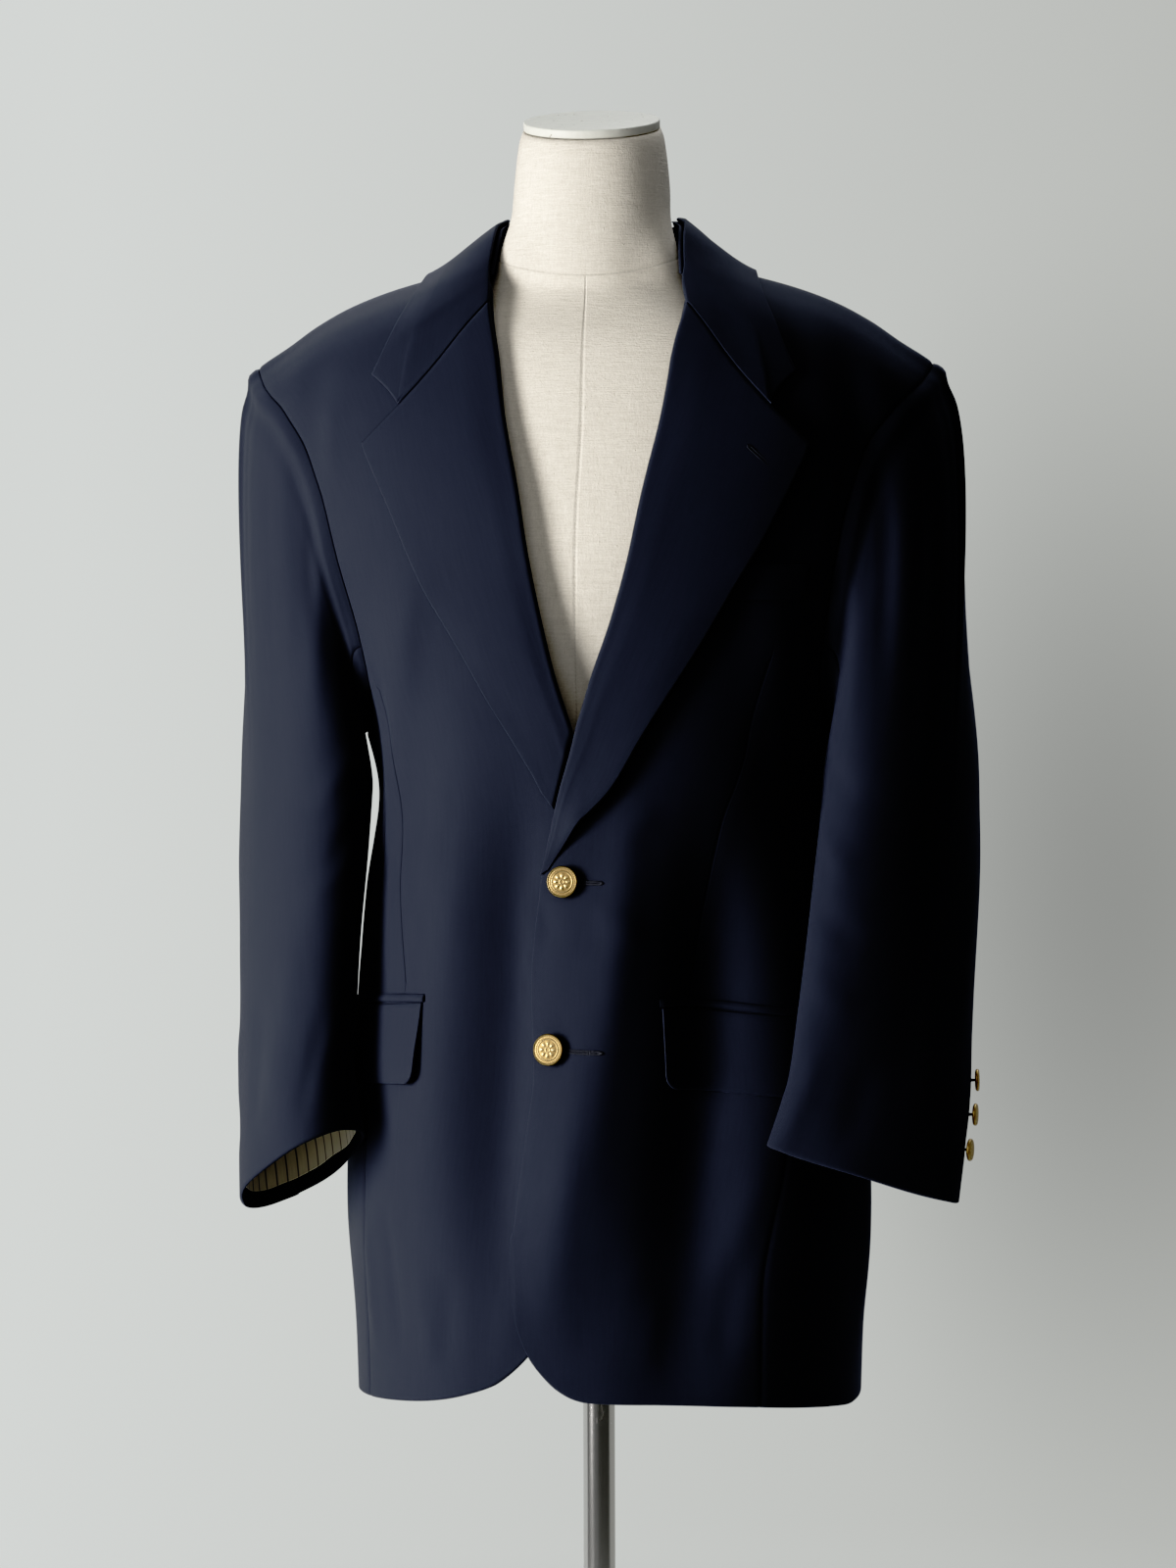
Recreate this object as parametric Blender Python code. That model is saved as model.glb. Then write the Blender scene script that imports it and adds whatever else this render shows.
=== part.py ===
"""A single-breasted blazer on a limbless dress form, at its real size.

Metres, +Z up. The origin is the middle of the base's underside, on the form's axis.
The front faces -Y, and the wearer's left is +X. Tables are in millimetres and degrees.

The body of the blazer is one surface, body_point(turn, level), and each panel is a part of it
between two seams. turn goes round the form: 0 is centre front, 90 the wearer's left side and
180 centre back. level is the height of a ring at the middle of the body. Near the shoulders a
ring slopes down with the shoulder line, and the last ring is the shoulder seam itself.
"""

import math

import bmesh
import bpy
import numpy as np

MM = 0.001
SEAM_GAP = 0.0003
CLOTH = 0.0016          # one layer of the wool with its interlining
DOUBLE_CLOTH = 0.0020   # collar and lapels, which are two layers
LINING = 0.0010

RIDGE_Y = 8.0           # the shoulder seam lies this far behind the form's axis
TOP_LEVEL = 1474.97     # the shoulder seam
UNDERARM_LEVEL = 1160.0  # where the side panel's seams meet the armhole
HEM_ZONE = 800.0        # rows are level above this, and below it they follow the hem

RING_COLUMNS = ("level", "centre", "half_width", "front", "back", "exponent", "slope")
BODY_RINGS = (
    (630, 8, 180, 170, 152, 2.3, 0.00),
    (700, 8, 182, 168, 150, 2.3, 0.00),
    (800, 8, 186, 164, 144, 2.3, 0.00),
    (880, 8, 184, 158, 134, 2.3, 0.00),
    (950, 7, 177, 151, 122, 2.3, 0.00),
    (1020, 5, 169, 145, 111, 2.3, 0.00),
    (1085, 4, 161, 141, 108, 2.3, 0.00),
    (1130, 2, 168, 139, 112, 2.2, 0.00),
    (1200, 0, 194, 136, 120, 2.2, 0.00),
    (1280, -2, 216, 129, 124, 2.2, 0.10),
    (1340, -2, 230, 117, 122, 2.3, 0.30),
    (1390, -2, 239, 101, 112, 2.4, 0.55),
    (1430, -2, 243, 79, 92, 2.5, 0.80),
    (1455, -2, 244, 54, 64, 2.5, 0.95),
    (1469, -2, 244, 28, 33, 2.5, 1.00),
    (1473.5, -2, 244, 14, 16, 2.5, 1.00),
    (1475, -2, 244, 0, 0, 2.5, 1.00),
)

SHOULDER_COLUMNS = ("distance", "height")
SHOULDER_LINE = (
    (0, 1475), (60, 1466), (100, 1454), (143, 1442), (172, 1431),
    (197, 1417.5), (218, 1403), (237, 1391), (245, 1385), (300, 1350),
)

# The edge of each front: below the break it is cut, above it the cloth rolls over.
EDGE_COLUMNS = ("level", "left", "right")
FRONT_EDGE = (
    (766, -14.8, -4.0),
    (815, -13.5, -2.0),
    (857, -11.8, 0.0),
    (900, -10.2, 2.0),
    (960, -11.2, 3.0),
    (1034, -8.8, 3.0),
    (1081, -5.2, 1.5),
    (1118, -2.2, -2.2),
    (1165, 1.3, -4.5),
    (1200, 4.5, -6.2),
    (1257, 8.2, -8.2),
    (1317, 10.3, -9.5),
    (1353, 11.2, -10.1),
    (1388, 11.2, -10.2),
    (1443, 12.2, -11.0),
    (1475, 13.5, -13.5),
)

# The hem, with the cutaway corner of each front.
HEM_COLUMNS = ("turn", "level")
HEM_LEFT = (
    (-14.8, 766), (-14.2, 748), (-13.0, 727), (-11.0, 710), (-8.2, 697), (-5.2, 687),
    (-2.2, 681), (0, 679), (12, 677), (31, 673.5), (49, 667), (62, 661.5), (76, 656),
    (101, 654), (180, 662),
)
HEM_RIGHT = (
    (4.0, 766), (5.0, 742), (7.0, 725), (11.0, 710), (13.5, 701.5), (16.2, 694),
    (19, 688), (24, 682), (31, 676), (38, 672), (48, 668), (63, 663), (90, 657),
    (125, 658), (180, 662),
)

# The seams that run down the body. The blazer hangs turned a little on the form.
SEAM_COLUMNS = ("level", "front_left", "front_right", "back_left", "back_right", "centre_back")
BODY_SEAMS = (
    (630, 36.2, -63, 104, -122, 174),
    (750, 36.2, -62, 105, -121, 174.5),
    (840, 42.5, -61, 107, -120, 176),
    (890, 46, -60, 109, -119.5, 177),
    (950, 51, -61, 111, -119, 178.5),
    (1060, 58, -62, 115, -118, 179.7),
    (1160, 62, -62, 118, -118, 180),
    (1480, 62, -62, 118, -118, 180),
)

ARMHOLE_COLUMNS = ("level", "front", "back")
ARMHOLE = (
    (1160, 62, 118),
    (1178, 58.5, 121.5),
    (1205, 56, 124),
    (1250, 54.5, 126),
    (1300, 54.5, 126),
    (1350, 56.8, 124),
    (1400, 61.5, 119),
    (1435, 68, 113),
    (1462, 74.5, 105.5),
    (1475, 80, 100),
)
UNDERARM_COLUMNS = ("turn", "level")
UNDERARM = ((62, 1160), (72, 1139), (81, 1129), (90, 1126), (99, 1129), (108, 1139), (118, 1160))

# The blazer's largest folds. Each runs from one place on the body to another, rises (or sinks,
# if minus) by rise at its middle, and fades out over its width and towards both ends.
FOLD_COLUMNS = ("turn", "level", "end_turn", "end_level", "width", "rise")
FOLDS = (
    (-16.5, 1135, -23, 715, 23, -6.0),     # the hollow down the right front
    (12, 1120, -10, 700, 30, 6.0),         # the ridge down the left front
    (30, 1085, 17, 745, 30, -5.0),         # the hollow beside it
    (-28, 1265, -70, 1020, 20, 5.0),       # the right chest's fold
    (-52, 1250, -84, 1050, 20, -6.0),      # the hollow under the right arm
    (30, 1270, 62, 1060, 20, 3.0),         # the left chest's fold, in the shade
    (38, 1474, 60, 1300, 17, -5.5),        # the dent below the left shoulder
    (-44, 1450, -58, 1310, 16, -2.5),      # a shallower one on the right
    (131, 1260, 146, 1010, 17, 5.0),       # back folds, uneven and not mirrored
    (118, 1210, 128, 1040, 15, -4.0),
    (-128, 1280, -140, 1060, 19, 4.0),
    (-152, 1120, -140, 900, 21, -4.0),
    (158, 1010, 150, 690, 24, 4.0),
    (-165, 960, -170, 680, 22, -3.5),
    (78, 930, 82, 680, 20, 4.0),
    (-92, 960, -88, 690, 22, 4.0),
)
FOLD_SCALE = 2.9        # millimetres to a degree of turn, round the body

BACK_NECK_LEVEL = 1459.0
NECK_POINT_TURN = 13.5  # from centre front or centre back, at the shoulder seam

# Each rung of a lapel runs from the roll line to the outer edge.
LAPEL_COLUMNS = ("roll_level", "roll_turn", "edge_level", "edge_turn")
LAPEL_LEFT = (
    (1037, -8.6, 1040, -7.0),
    (1060, -6.7, 1058, -3.3),
    (1090, -4.6, 1075, -0.3),
    (1118, -2.2, 1097, 5.0),
    (1165, 1.3, 1138, 13.0),
    (1210, 5.2, 1180, 20.3),
    (1257, 8.2, 1228, 27.6),
    (1310, 10.1, 1268, 33.4),
    (1360, 11.2, 1303, 36.8),
    (1405, 11.4, 1327, 38.4),
    (1432, 12.0, 1338.5, 38.8),
)
LAPEL_RIGHT = (
    (1085, 5.4, 1083, 6.1),
    (1097, 4.4, 1094, 8.4),
    (1110, 3.4, 1105, 10.6),
    (1130, 3.0, 1119, 13.6),
    (1165, 4.6, 1150, 19.0),
    (1210, 6.6, 1186, 23.4),
    (1257, 8.2, 1232, 29.7),
    (1310, 9.4, 1274, 33.5),
    (1360, 10.2, 1308, 36.1),
    (1405, 10.5, 1330, 37.5),
    (1434, 11.0, 1341, 38.0),
)
GORGE_BOW = 8.0         # how far the gorge seam bows below a straight line
NOTCH_SHARE = 0.59      # the notch's corner, as a share of the lapel's top edge
LAPEL_LIFT = 2.8        # the lapel's outer face above its lowest place, at the roll line
LAPEL_PUFF = 7.0
LAPEL_EDGE_LIFT = 4.8

# The collar's rungs, from the gorge over the shoulder to centre back. "over" is the distance
# over the shoulder from its seam: minus in front, plus behind.
COLLAR_COLUMNS = ("fold_side", "fold_over", "fold_lift", "edge_side", "edge_over")
COLLAR = (
    (67, -84, 5.0, 145.5, -132),
    (67, -72, 6.5, 140, -116),
    (67, -60, 9.0, 132, -90),
    (65.5, -46, 13.5, 123, -58),
    (63.5, -26, 20.0, 117.5, -28),
    (61.5, 0, 25.5, 114, 0),
    (58, 24, 29.0, 105, 32),
    (45, 42, 30.5, 84, 58),
    (24, 51, 31.0, 48, 75),
    (0, 54, 31.0, 0, 80),
)
COLLAR_NOTCH = (122.0, -158.0)   # side and over of the corner where the gorge ends
COLLAR_NOTCH_SHARE = 0.66
COLLAR_EDGE_LIFT = 4.6
COLLAR_CENTRE = -2.0

# Sleeve rings below the armhole. rise is the slope up towards the front end of the ring, and
# lean the slope up towards its inner side.
SLEEVE_COLUMNS = ("height", "side", "depth", "across", "along", "turn", "rise", "lean")
SLEEVE_RIGHT = (
    (1090, 207, -16, 42, 76, 29, 0, 0),
    (1040, 208, -28, 40, 75, 30, 1, 0),
    (985, 209, -42, 38, 71, 30, 3, 0),
    (930, 208, -56, 37, 65, 30, 6, 2),
    (882, 206, -72, 38, 57, 27, 15, 7),
    (850, 203, -83, 41, 52, 25, 25, 13),
    (826, 200, -92, 43, 46, 26, 33, 17),
)
SLEEVE_LEFT = (
    (1090, 217, -26, 44, 76, 32, 0, 0),
    (1040, 215, -44, 41, 75, 40, 1, 0),
    (985, 211, -68, 37, 72, 48, 3, 0),
    (930, 206, -96, 32, 69, 56, 6, 0),
    (890, 203, -120, 28, 67, 64, 10, 0),
    (860, 197, -137, 26, 66, 70, 14, 0),
    (836, 192, -149, 25, 66, 74, 18, 0),
)
CAP_ROWS = 6            # rows between the armhole and the first ring of a sleeve
CAP_REACH = {"left": 46.0, "right": 34.0}   # how far the head's curve is carried outwards
CAP_FALL = 62.0

FLAP_START = {"left": 13.3, "right": 38.4}   # the turn of a flap's front end
FLAP_TURN, FLAP_LENGTH = 49.0, 150.0         # the same length, round the body and on the cloth
FLAP_TOP, FLAP_HEIGHT, FLAP_SLOPE = 946.0, 55.0, 0.28
FLAP_CORNER = 9.0
JET_HEIGHT = 5.5

WELT_TURN, WELT_LEVEL, WELT_HEIGHT = (20.5, 46.5), 1222.0, 25.0

# Each front button's name, turn and level.
FRONT_BUTTONS = (("front_button_upper", -3.8, 1031.8), ("front_button_lower", -6.4, 918.7))
BUTTON_RADIUS, CUFF_BUTTON_RADIUS = 10.8, 7.6
CUFF_BUTTON_HEIGHTS = (28.0, 47.0, 66.0)   # above the cuff, along the back seam

FORM_COLUMNS = ("level", "half_width", "front", "back", "tilt")
FORM_RINGS = (
    (1553, 48.5, 48, 48, 15),
    (1546, 51, 50, 50.5, 15.5),
    (1513, 55, 53.5, 54, 17),
    (1485, 57, 55.5, 56, 19),
    (1463, 59.5, 58.5, 48, 20),
    (1440, 75, 63, 50, 3),
    (1423, 107, 74, 68, 1),
    (1403, 146, 90, 90, 0),
    (1365, 168, 104, 104, 0),
    (1300, 170, 115, 110, 0),
    (1220, 158, 121, 104, 0),
    (1170, 152, 118, 98, 0),
    (1110, 142, 106, 90, 0),
    (1040, 132, 97, 84, 0),
    (960, 146, 106, 98, 0),
    (890, 157, 115, 114, 0),
    (840, 159, 118, 120, 0),
    (822, 150, 110, 112, 0),
)
FORM_EXPONENT = 2.15
CAP_RADIUS, CAP_THICKNESS, CAP_TILT = 48.2, 6.2, 15.0
POLE_RADIUS = 11.5
BASE_RADIUS, BASE_THICKNESS = 180.0, 12.0
SOCKET_RADIUS, SOCKET_HEIGHT = 20.0, 45.0


# ---------------------------------------------------------------- tables and curves

def smooth(rows, at, value=1, key=0):
    """A cubic curve through two columns of a table, which never overshoots its points."""
    xs = np.array([row[key] for row in rows], float)
    ys = np.array([row[value] for row in rows], float)
    at = np.asarray(at, float)
    step = np.diff(xs)
    rise = np.diff(ys) / step
    tangent = np.concatenate([rise[:1], np.zeros(len(rise) - 1), rise[-1:]])
    same = rise[1:] * rise[:-1] > 0
    total = np.where(same, rise[1:] + rise[:-1], 1)
    tangent[1:-1] = np.where(same, 2 * rise[1:] * rise[:-1] / total, 0)
    k = np.clip(np.searchsorted(xs, at, side="right") - 1, 0, len(step) - 1)
    t = np.clip((at - xs[k]) / step[k], 0, 1)
    start = (2 * t**3 - 3 * t**2 + 1) * ys[k] + (t**3 - 2 * t**2 + t) * step[k] * tangent[k]
    return start + (3 * t**2 - 2 * t**3) * ys[k + 1] + (t**3 - t**2) * step[k] * tangent[k + 1]


def column(rows, columns, name, at):
    """A named column of a table, read at any value of its first column."""
    return smooth(rows, at, value=columns.index(name))


def ease(t):
    """0 below 0, 1 above 1, with level ends."""
    t = np.clip(t, 0, 1)
    return t * t * (3 - 2 * t)


def unit(vectors):
    return vectors / np.maximum(np.linalg.norm(vectors, axis=-1, keepdims=True), 1e-12)


# ---------------------------------------------------------------- the body's surface

def ring(name, level):
    return column(BODY_RINGS, RING_COLUMNS, name, level)


def fold_rise(turn, level):
    """How far the folds lift the cloth at a point of the body."""
    total = np.zeros(np.shape(turn))
    for row in FOLDS:
        fold = dict(zip(FOLD_COLUMNS, row))
        along = np.array([(fold["end_turn"] - fold["turn"]) * FOLD_SCALE,
                          fold["end_level"] - fold["level"]])
        length = np.hypot(*along)
        side = ((turn - fold["turn"] + 180) % 360 - 180) * FOLD_SCALE
        down = level - fold["level"]
        share = (side * along[0] + down * along[1]) / length**2
        apart = (side * along[1] - down * along[0]) / length
        ends = ease(share / 0.35) * ease((1 - share) / 0.35)
        total = total + fold["rise"] * np.exp(-(apart / fold["width"]) ** 2) * ends
    return total


def body_point(turn, level):
    """A point on the outside of the blazer's body, in millimetres."""
    turn, level = np.broadcast_arrays(np.asarray(turn, float), np.asarray(level, float))
    sine, cosine = np.sin(np.radians(turn)), np.cos(np.radians(turn))
    power = 2 / ring("exponent", level)
    x = ring("centre", level) + ring("half_width", level) * np.sign(sine) * np.abs(sine) ** power
    depth = np.where(cosine > 0, ring("front", level), ring("back", level))
    y = RIDGE_Y - depth * np.sign(cosine) * np.abs(cosine) ** power
    distance = np.abs(x - COLLAR_CENTRE)
    drop = TOP_LEVEL - column(SHOULDER_LINE, SHOULDER_COLUMNS, "height", distance)
    rise = fold_rise(turn, level)
    return np.stack([x + rise * sine, y - rise * cosine, level - ring("slope", level) * drop], -1)


def body_normal(turn, level):
    """The outward direction at a point of the body."""
    along = body_point(turn + 0.4, level) - body_point(turn - 0.4, level)
    high = np.minimum(level + 0.4, TOP_LEVEL)
    up = body_point(turn, high) - body_point(turn, high - 0.8)
    return unit(np.cross(along, up))


def lifted(turn, level, lift):
    """A point moved out from the body by lift millimetres."""
    return body_point(turn, level) + body_normal(turn, level) * np.asarray(lift)[..., None]


def over_to_level(over):
    """The level of a point by its distance over the shoulder, measured down the middle."""
    levels = np.linspace(1475, 1300, 400)
    result = np.zeros(np.shape(over))
    for face, name in ((-1, "front"), (1, "back")):
        run = np.hypot(np.diff(ring(name, levels)), np.diff(levels))
        distance = np.concatenate([[0], np.cumsum(run)])
        mine = np.sign(over) == face
        result = np.where(mine, np.interp(np.abs(over), distance, levels), result)
    return np.where(np.asarray(over) == 0, 1475, result)


def over_shoulder(side, over, lift):
    """A point by its distance to the side, its distance over the shoulder and its lift."""
    level = np.clip(over_to_level(over), 0, TOP_LEVEL)
    share = np.abs(side - ring("centre", level)) / ring("half_width", level)
    bend = np.degrees(np.arcsin(np.clip(share, 0, 1) ** (ring("exponent", level) / 2)))
    front = np.sign(side - ring("centre", level)) * bend
    turn = np.where(np.asarray(over) <= 0, front, 180 - front)
    point = body_point(turn, level)
    outward = body_normal(turn, level)
    near_seam = ease(1 - np.abs(over) / 14)[..., None]
    outward = unit(outward * (1 - near_seam) + np.array([0, 0, 1.0]) * near_seam)
    return point + outward * np.asarray(lift)[..., None]


# ---------------------------------------------------------------- solids

def material(name, colour, roughness, metallic=0.0):
    made = bpy.data.materials.new(name)
    made.use_nodes = True
    shader = made.node_tree.nodes["Principled BSDF"]
    shader.inputs["Base Color"].default_value = (*colour, 1)
    shader.inputs["Roughness"].default_value = roughness
    shader.inputs["Metallic"].default_value = metallic
    return made


def add_object(name, verts, faces, look, smooth_angle=40):
    """A closed mesh from points in millimetres, with its faces turned outwards."""
    mesh = bpy.data.meshes.new(name)
    mesh.from_pydata([tuple(p) for p in np.asarray(verts) * MM], [], faces)
    shape = bmesh.new()
    shape.from_mesh(mesh)
    bmesh.ops.recalc_face_normals(shape, faces=shape.faces)
    shape.to_mesh(mesh)
    shape.free()
    mesh.shade_smooth()
    mesh.set_sharp_from_angle(angle=math.radians(smooth_angle))
    mesh.materials.append(material(name + "_finish", *look))
    made = bpy.data.objects.new(name, mesh)
    bpy.context.scene.collection.objects.link(made)
    return made


def pull_in(points, edges, gap=SEAM_GAP / 2 / MM):
    """Moves named edges of a grid in by half a seam's gap. The last row is a shoulder seam or
    a gorge, which gets twice the gap because its two sides aren't parallel."""
    moved = points.copy()
    if "last" in edges:
        moved[-1] = points[-1] + unit(points[-2] - points[-1]) * gap * 2
    if "left" in edges:
        moved[:, 0] = moved[:, 0] + unit(points[:, 1] - points[:, 0]) * gap
    if "right" in edges:
        moved[:, -1] = moved[:, -1] + unit(points[:, -2] - points[:, -1]) * gap
    return moved


def grid_normals(points, around=False):
    """Unit normals of a grid of points. around joins its last column to its first."""
    if around:
        wide = np.concatenate([points[:, -1:], points, points[:, :1]], axis=1)
        across = (wide[:, 2:] - wide[:, :-2])
    else:
        across = np.gradient(points, axis=1)
    return unit(np.cross(across, np.gradient(points, axis=0)))


def wall_faces(rows, cols, around=False):
    """Faces of a wall: its outer grid, its inner grid and the rims that join them."""
    inner = rows * cols
    last = cols if around else cols - 1
    faces = []
    for r in range(rows - 1):
        for c in range(last):
            d = (c + 1) % cols
            quad = (r * cols + c, r * cols + d, (r + 1) * cols + d, (r + 1) * cols + c)
            faces.append(quad)
            faces.append(tuple(inner + v for v in reversed(quad)))
    loops = [[c for c in range(cols)], [(rows - 1) * cols + c for c in range(cols)]]
    if around:
        rims = [loop + loop[:1] for loop in loops]
    else:
        right = [r * cols + cols - 1 for r in range(1, rows)]
        left = [r * cols for r in range(rows - 2, -1, -1)]
        rims = [loops[0] + right + loops[1][-2::-1] + left]
    for rim in rims:
        for a, b in zip(rim[:-1], rim[1:]):
            faces.append((a, b, inner + b, inner + a))
    return faces


def cloth_wall(name, points, normals, look, thickness=CLOTH, around=False):
    """A cloth panel: a grid of points on its outside, and the same grid moved in."""
    rows, cols = points.shape[:2]
    inside = points - normals * (thickness / MM)
    verts = np.concatenate([points.reshape(-1, 3), inside.reshape(-1, 3)])
    return add_object(name, verts, wall_faces(rows, cols, around), look)


def turned(name, profile, look, sides=24, centre=(0, 0, 0), axis=(0, 0, 1), smooth_angle=35):
    """A closed round piece from (radius, height) pairs, from its axis below to its axis above."""
    axis = unit(np.array(axis, float))
    helper = np.array([0, 0, 1.0]) if abs(axis[2]) < 0.9 else np.array([1.0, 0, 0])
    first = unit(np.cross(helper, axis))
    second = np.cross(axis, first)
    angles = np.linspace(0, 2 * math.pi, sides, endpoint=False)
    spokes = np.cos(angles)[:, None] * first + np.sin(angles)[:, None] * second
    centre = np.array(centre, float)
    verts = [centre + axis * profile[0][1]]
    for radius, height in profile[1:-1]:
        verts.extend(centre + axis * height + spokes * radius)
    verts.append(centre + axis * profile[-1][1])
    top = len(verts) - 1
    faces = []
    for s in range(sides):
        t = (s + 1) % sides
        faces.append((0, 1 + t, 1 + s))
        for k in range(len(profile) - 3):
            base = 1 + k * sides
            faces.append((base + s, base + t, base + sides + t, base + sides + s))
        faces.append((top, top - sides + s, top - sides + t))
    return add_object(name, verts, faces, look, smooth_angle)


NAVY = ((0.016, 0.019, 0.040), 0.85)
BRASS = ((0.78, 0.60, 0.30), 0.32, 1.0)
SATIN = ((0.72, 0.67, 0.55), 0.45)
LINEN = ((0.74, 0.70, 0.62), 0.90)
PAINT = ((0.66, 0.66, 0.62), 0.55)
CHROME = ((0.62, 0.62, 0.63), 0.18, 1.0)
STEEL = ((0.52, 0.52, 0.53), 0.38, 1.0)


# ---------------------------------------------------------------- body panels

LOWEST = 680.0
HEM_ROWS = (0.0, 0.3, 0.65)
LEVEL_ROWS = (800, 850, 900, 950, 1000, 1042, 1085, 1123, 1160)
UPPER_ROWS = (1178, 1205, 1250, 1300, 1350, 1400, 1435, 1462, TOP_LEVEL)


def side_sign(side):
    return 1 if side == "left" else -1


def hem_level(side, turn):
    """The hem's level. The right side's table is kept by its distance from centre front."""
    if side == "left":
        return column(HEM_LEFT, HEM_COLUMNS, "level", turn)
    return column(HEM_RIGHT, HEM_COLUMNS, "level", -np.asarray(turn))


def seam(name, level):
    return column(BODY_SEAMS, SEAM_COLUMNS, name, level)


def armhole_turn(side, face, level):
    return side_sign(side) * column(ARMHOLE, ARMHOLE_COLUMNS, face, level)


def tucked(side, turn, level):
    """How far the right front lies inside the body's surface, because the left one laps over it."""
    if side == "left":
        return np.zeros(np.broadcast(turn, level).shape)
    near = ease((np.asarray(turn) + 32) / 18)
    return -4.0 * near * ease((1190 - np.asarray(level)) / 60)


def low_level(share):
    """The level at which a row of the hem zone reads its seams, the same on every panel."""
    return LOWEST + (HEM_ZONE - LOWEST) * share


def front_grid(side, shares):
    """Turns and levels of a front, from its edge (share 0) to its side seam and armhole."""
    name = "front_" + side
    shares = np.asarray(shares)

    def row_turns(level):
        edge = column(FRONT_EDGE, EDGE_COLUMNS, side, max(level, FRONT_EDGE[0][0]))
        far = seam(name, level) if level <= UNDERARM_LEVEL else armhole_turn(side, "front", level)
        return edge + (far - edge) * shares

    turns, levels = [], []
    for share in HEM_ROWS:
        turns.append(row_turns(low_level(share)))
        hem = hem_level(side, turns[-1])
        levels.append(hem + (HEM_ZONE - hem) * share)
    for level in LEVEL_ROWS + UPPER_ROWS:
        levels.append(np.full(len(shares), float(level)))
        turns.append(row_turns(level))
    return np.array(turns), np.array(levels)


def side_grid(side, shares):
    """Turns and levels of a side panel, from the front's seam to the back's."""
    shares = np.asarray(shares)
    under = side_sign(side) * (UNDERARM[0][0] + (UNDERARM[-1][0] - UNDERARM[0][0]) * shares)
    top = column(UNDERARM, UNDERARM_COLUMNS, "level", np.abs(under))
    turns, levels = [], []
    for share in HEM_ROWS:
        edge, far = (seam(name + side, low_level(share)) for name in ("front_", "back_"))
        turns.append(edge + (far - edge) * shares)
        hem = hem_level(side, turns[-1])
        levels.append(hem + (HEM_ZONE - hem) * share)
    for level in LEVEL_ROWS[:-1]:
        room = top - UNDERARM_LEVEL
        levels.append(level + room * ease((level - 1000) / 160) * 0.8)
        turns.append(seam("front_" + side, level)
                     + (seam("back_" + side, level) - seam("front_" + side, level)) * shares)
    levels.append(top)
    turns.append(under)
    return np.array(turns), np.array(levels)


def back_grid(side, shares):
    """Turns and levels of a back, from centre back to its side seam and armhole."""
    shares = np.asarray(shares)
    sign = side_sign(side)

    def row_turns(level):
        middle = seam("centre_back", level) - (0 if side == "left" else 360)
        far = seam("back_" + side, level) if level <= UNDERARM_LEVEL else (
            armhole_turn(side, "back", level))
        return middle + (far - middle) * shares

    turns, levels = [], []
    for share in HEM_ROWS:
        row = row_turns(low_level(share))
        hem = hem_level(side, np.where(np.abs(row) > 180, 180 * sign, row))
        levels.append(hem + (HEM_ZONE - hem) * share)
        turns.append(row)
    for level in LEVEL_ROWS + UPPER_ROWS[:-2]:
        levels.append(np.full(len(shares), float(level)))
        turns.append(row_turns(level))
    for level in UPPER_ROWS[-2:]:
        row = row_turns(level)
        reach = 1 - ease((180 - np.abs(row)) / NECK_POINT_TURN)
        share = (level - 1435) / (TOP_LEVEL - 1435)
        levels.append(level - (TOP_LEVEL - BACK_NECK_LEVEL) * reach * share)
        turns.append(row)
    return np.array(turns), np.array(levels)


FRONT_SHARES = (0, 0.03, 0.07, 0.13, 0.22, 0.34, 0.48, 0.62, 0.75, 0.88, 1)
SIDE_SHARES = (0, 0.18, 0.34, 0.5, 0.66, 0.82, 1)
BACK_SHARES = (0, 0.085, 0.17, 0.32, 0.48, 0.64, 0.82, 1)


def panel_normals(turns, levels):
    """Outward directions, which are the same on both sides of the shoulder seam."""
    at_seam = ease((levels - TOP_LEVEL + 3) / 3)[..., None]
    return unit(body_normal(turns, levels) * (1 - at_seam * np.array([0, 1, 0])))


def make_body(look):
    for side in ("left", "right"):
        turns, levels = front_grid(side, FRONT_SHARES)
        points = lifted(turns, levels, tucked(side, turns, levels))
        points = pull_in(points, ("right", "last"))
        cloth_wall("front_" + side, points, panel_normals(turns, levels), look)
        turns, levels = side_grid(side, SIDE_SHARES)
        points = pull_in(body_point(turns, levels), ("left", "right"))
        cloth_wall("side_panel_" + side, points, body_normal(turns, levels), look)
        turns, levels = back_grid(side, BACK_SHARES)
        points = pull_in(body_point(turns, levels), ("left", "right", "last"))
        cloth_wall("back_" + side, points, panel_normals(turns, levels), look)


# ---------------------------------------------------------------- sleeves

def armhole_loop(side):
    """The armhole's points, from the shoulder down the front, under the arm and up the back."""
    sign = side_sign(side)
    upper = (1160,) + UPPER_ROWS
    front = [(armhole_turn(side, "front", level), level) for level in reversed(upper)]
    first, last = UNDERARM[0][0], UNDERARM[-1][0]
    under = [first + (last - first) * share for share in SIDE_SHARES[1:-1]]
    under = [(sign * t, float(column(UNDERARM, UNDERARM_COLUMNS, "level", t))) for t in under]
    back = [(armhole_turn(side, "back", level), level) for level in upper[:-1]]
    loop = np.array(front + under + back, float)
    return body_point(loop[:, 0], loop[:, 1]), body_normal(loop[:, 0], loop[:, 1])


def sleeve_ring(side, table, height, angles):
    """A ring of a sleeve. Angle 0 is its outer side, 90 its front end and 180 its inner side."""
    sign = side_sign(side)

    def value(name):
        return float(smooth(table[::-1], height, value=SLEEVE_COLUMNS.index(name)))

    a = np.radians(angles)
    outward = value("across") * np.cos(a)
    forward = value("along") * np.sin(a)
    turn = math.radians(value("turn"))
    x = outward * math.cos(turn) - forward * math.sin(turn)
    y = -(forward * math.cos(turn) + outward * math.sin(turn))
    z = height + forward * math.tan(math.radians(value("rise")))
    z = z - outward * math.tan(math.radians(value("lean")))
    return np.stack([sign * (value("side") + x), value("depth") + y, z], -1)


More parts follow.
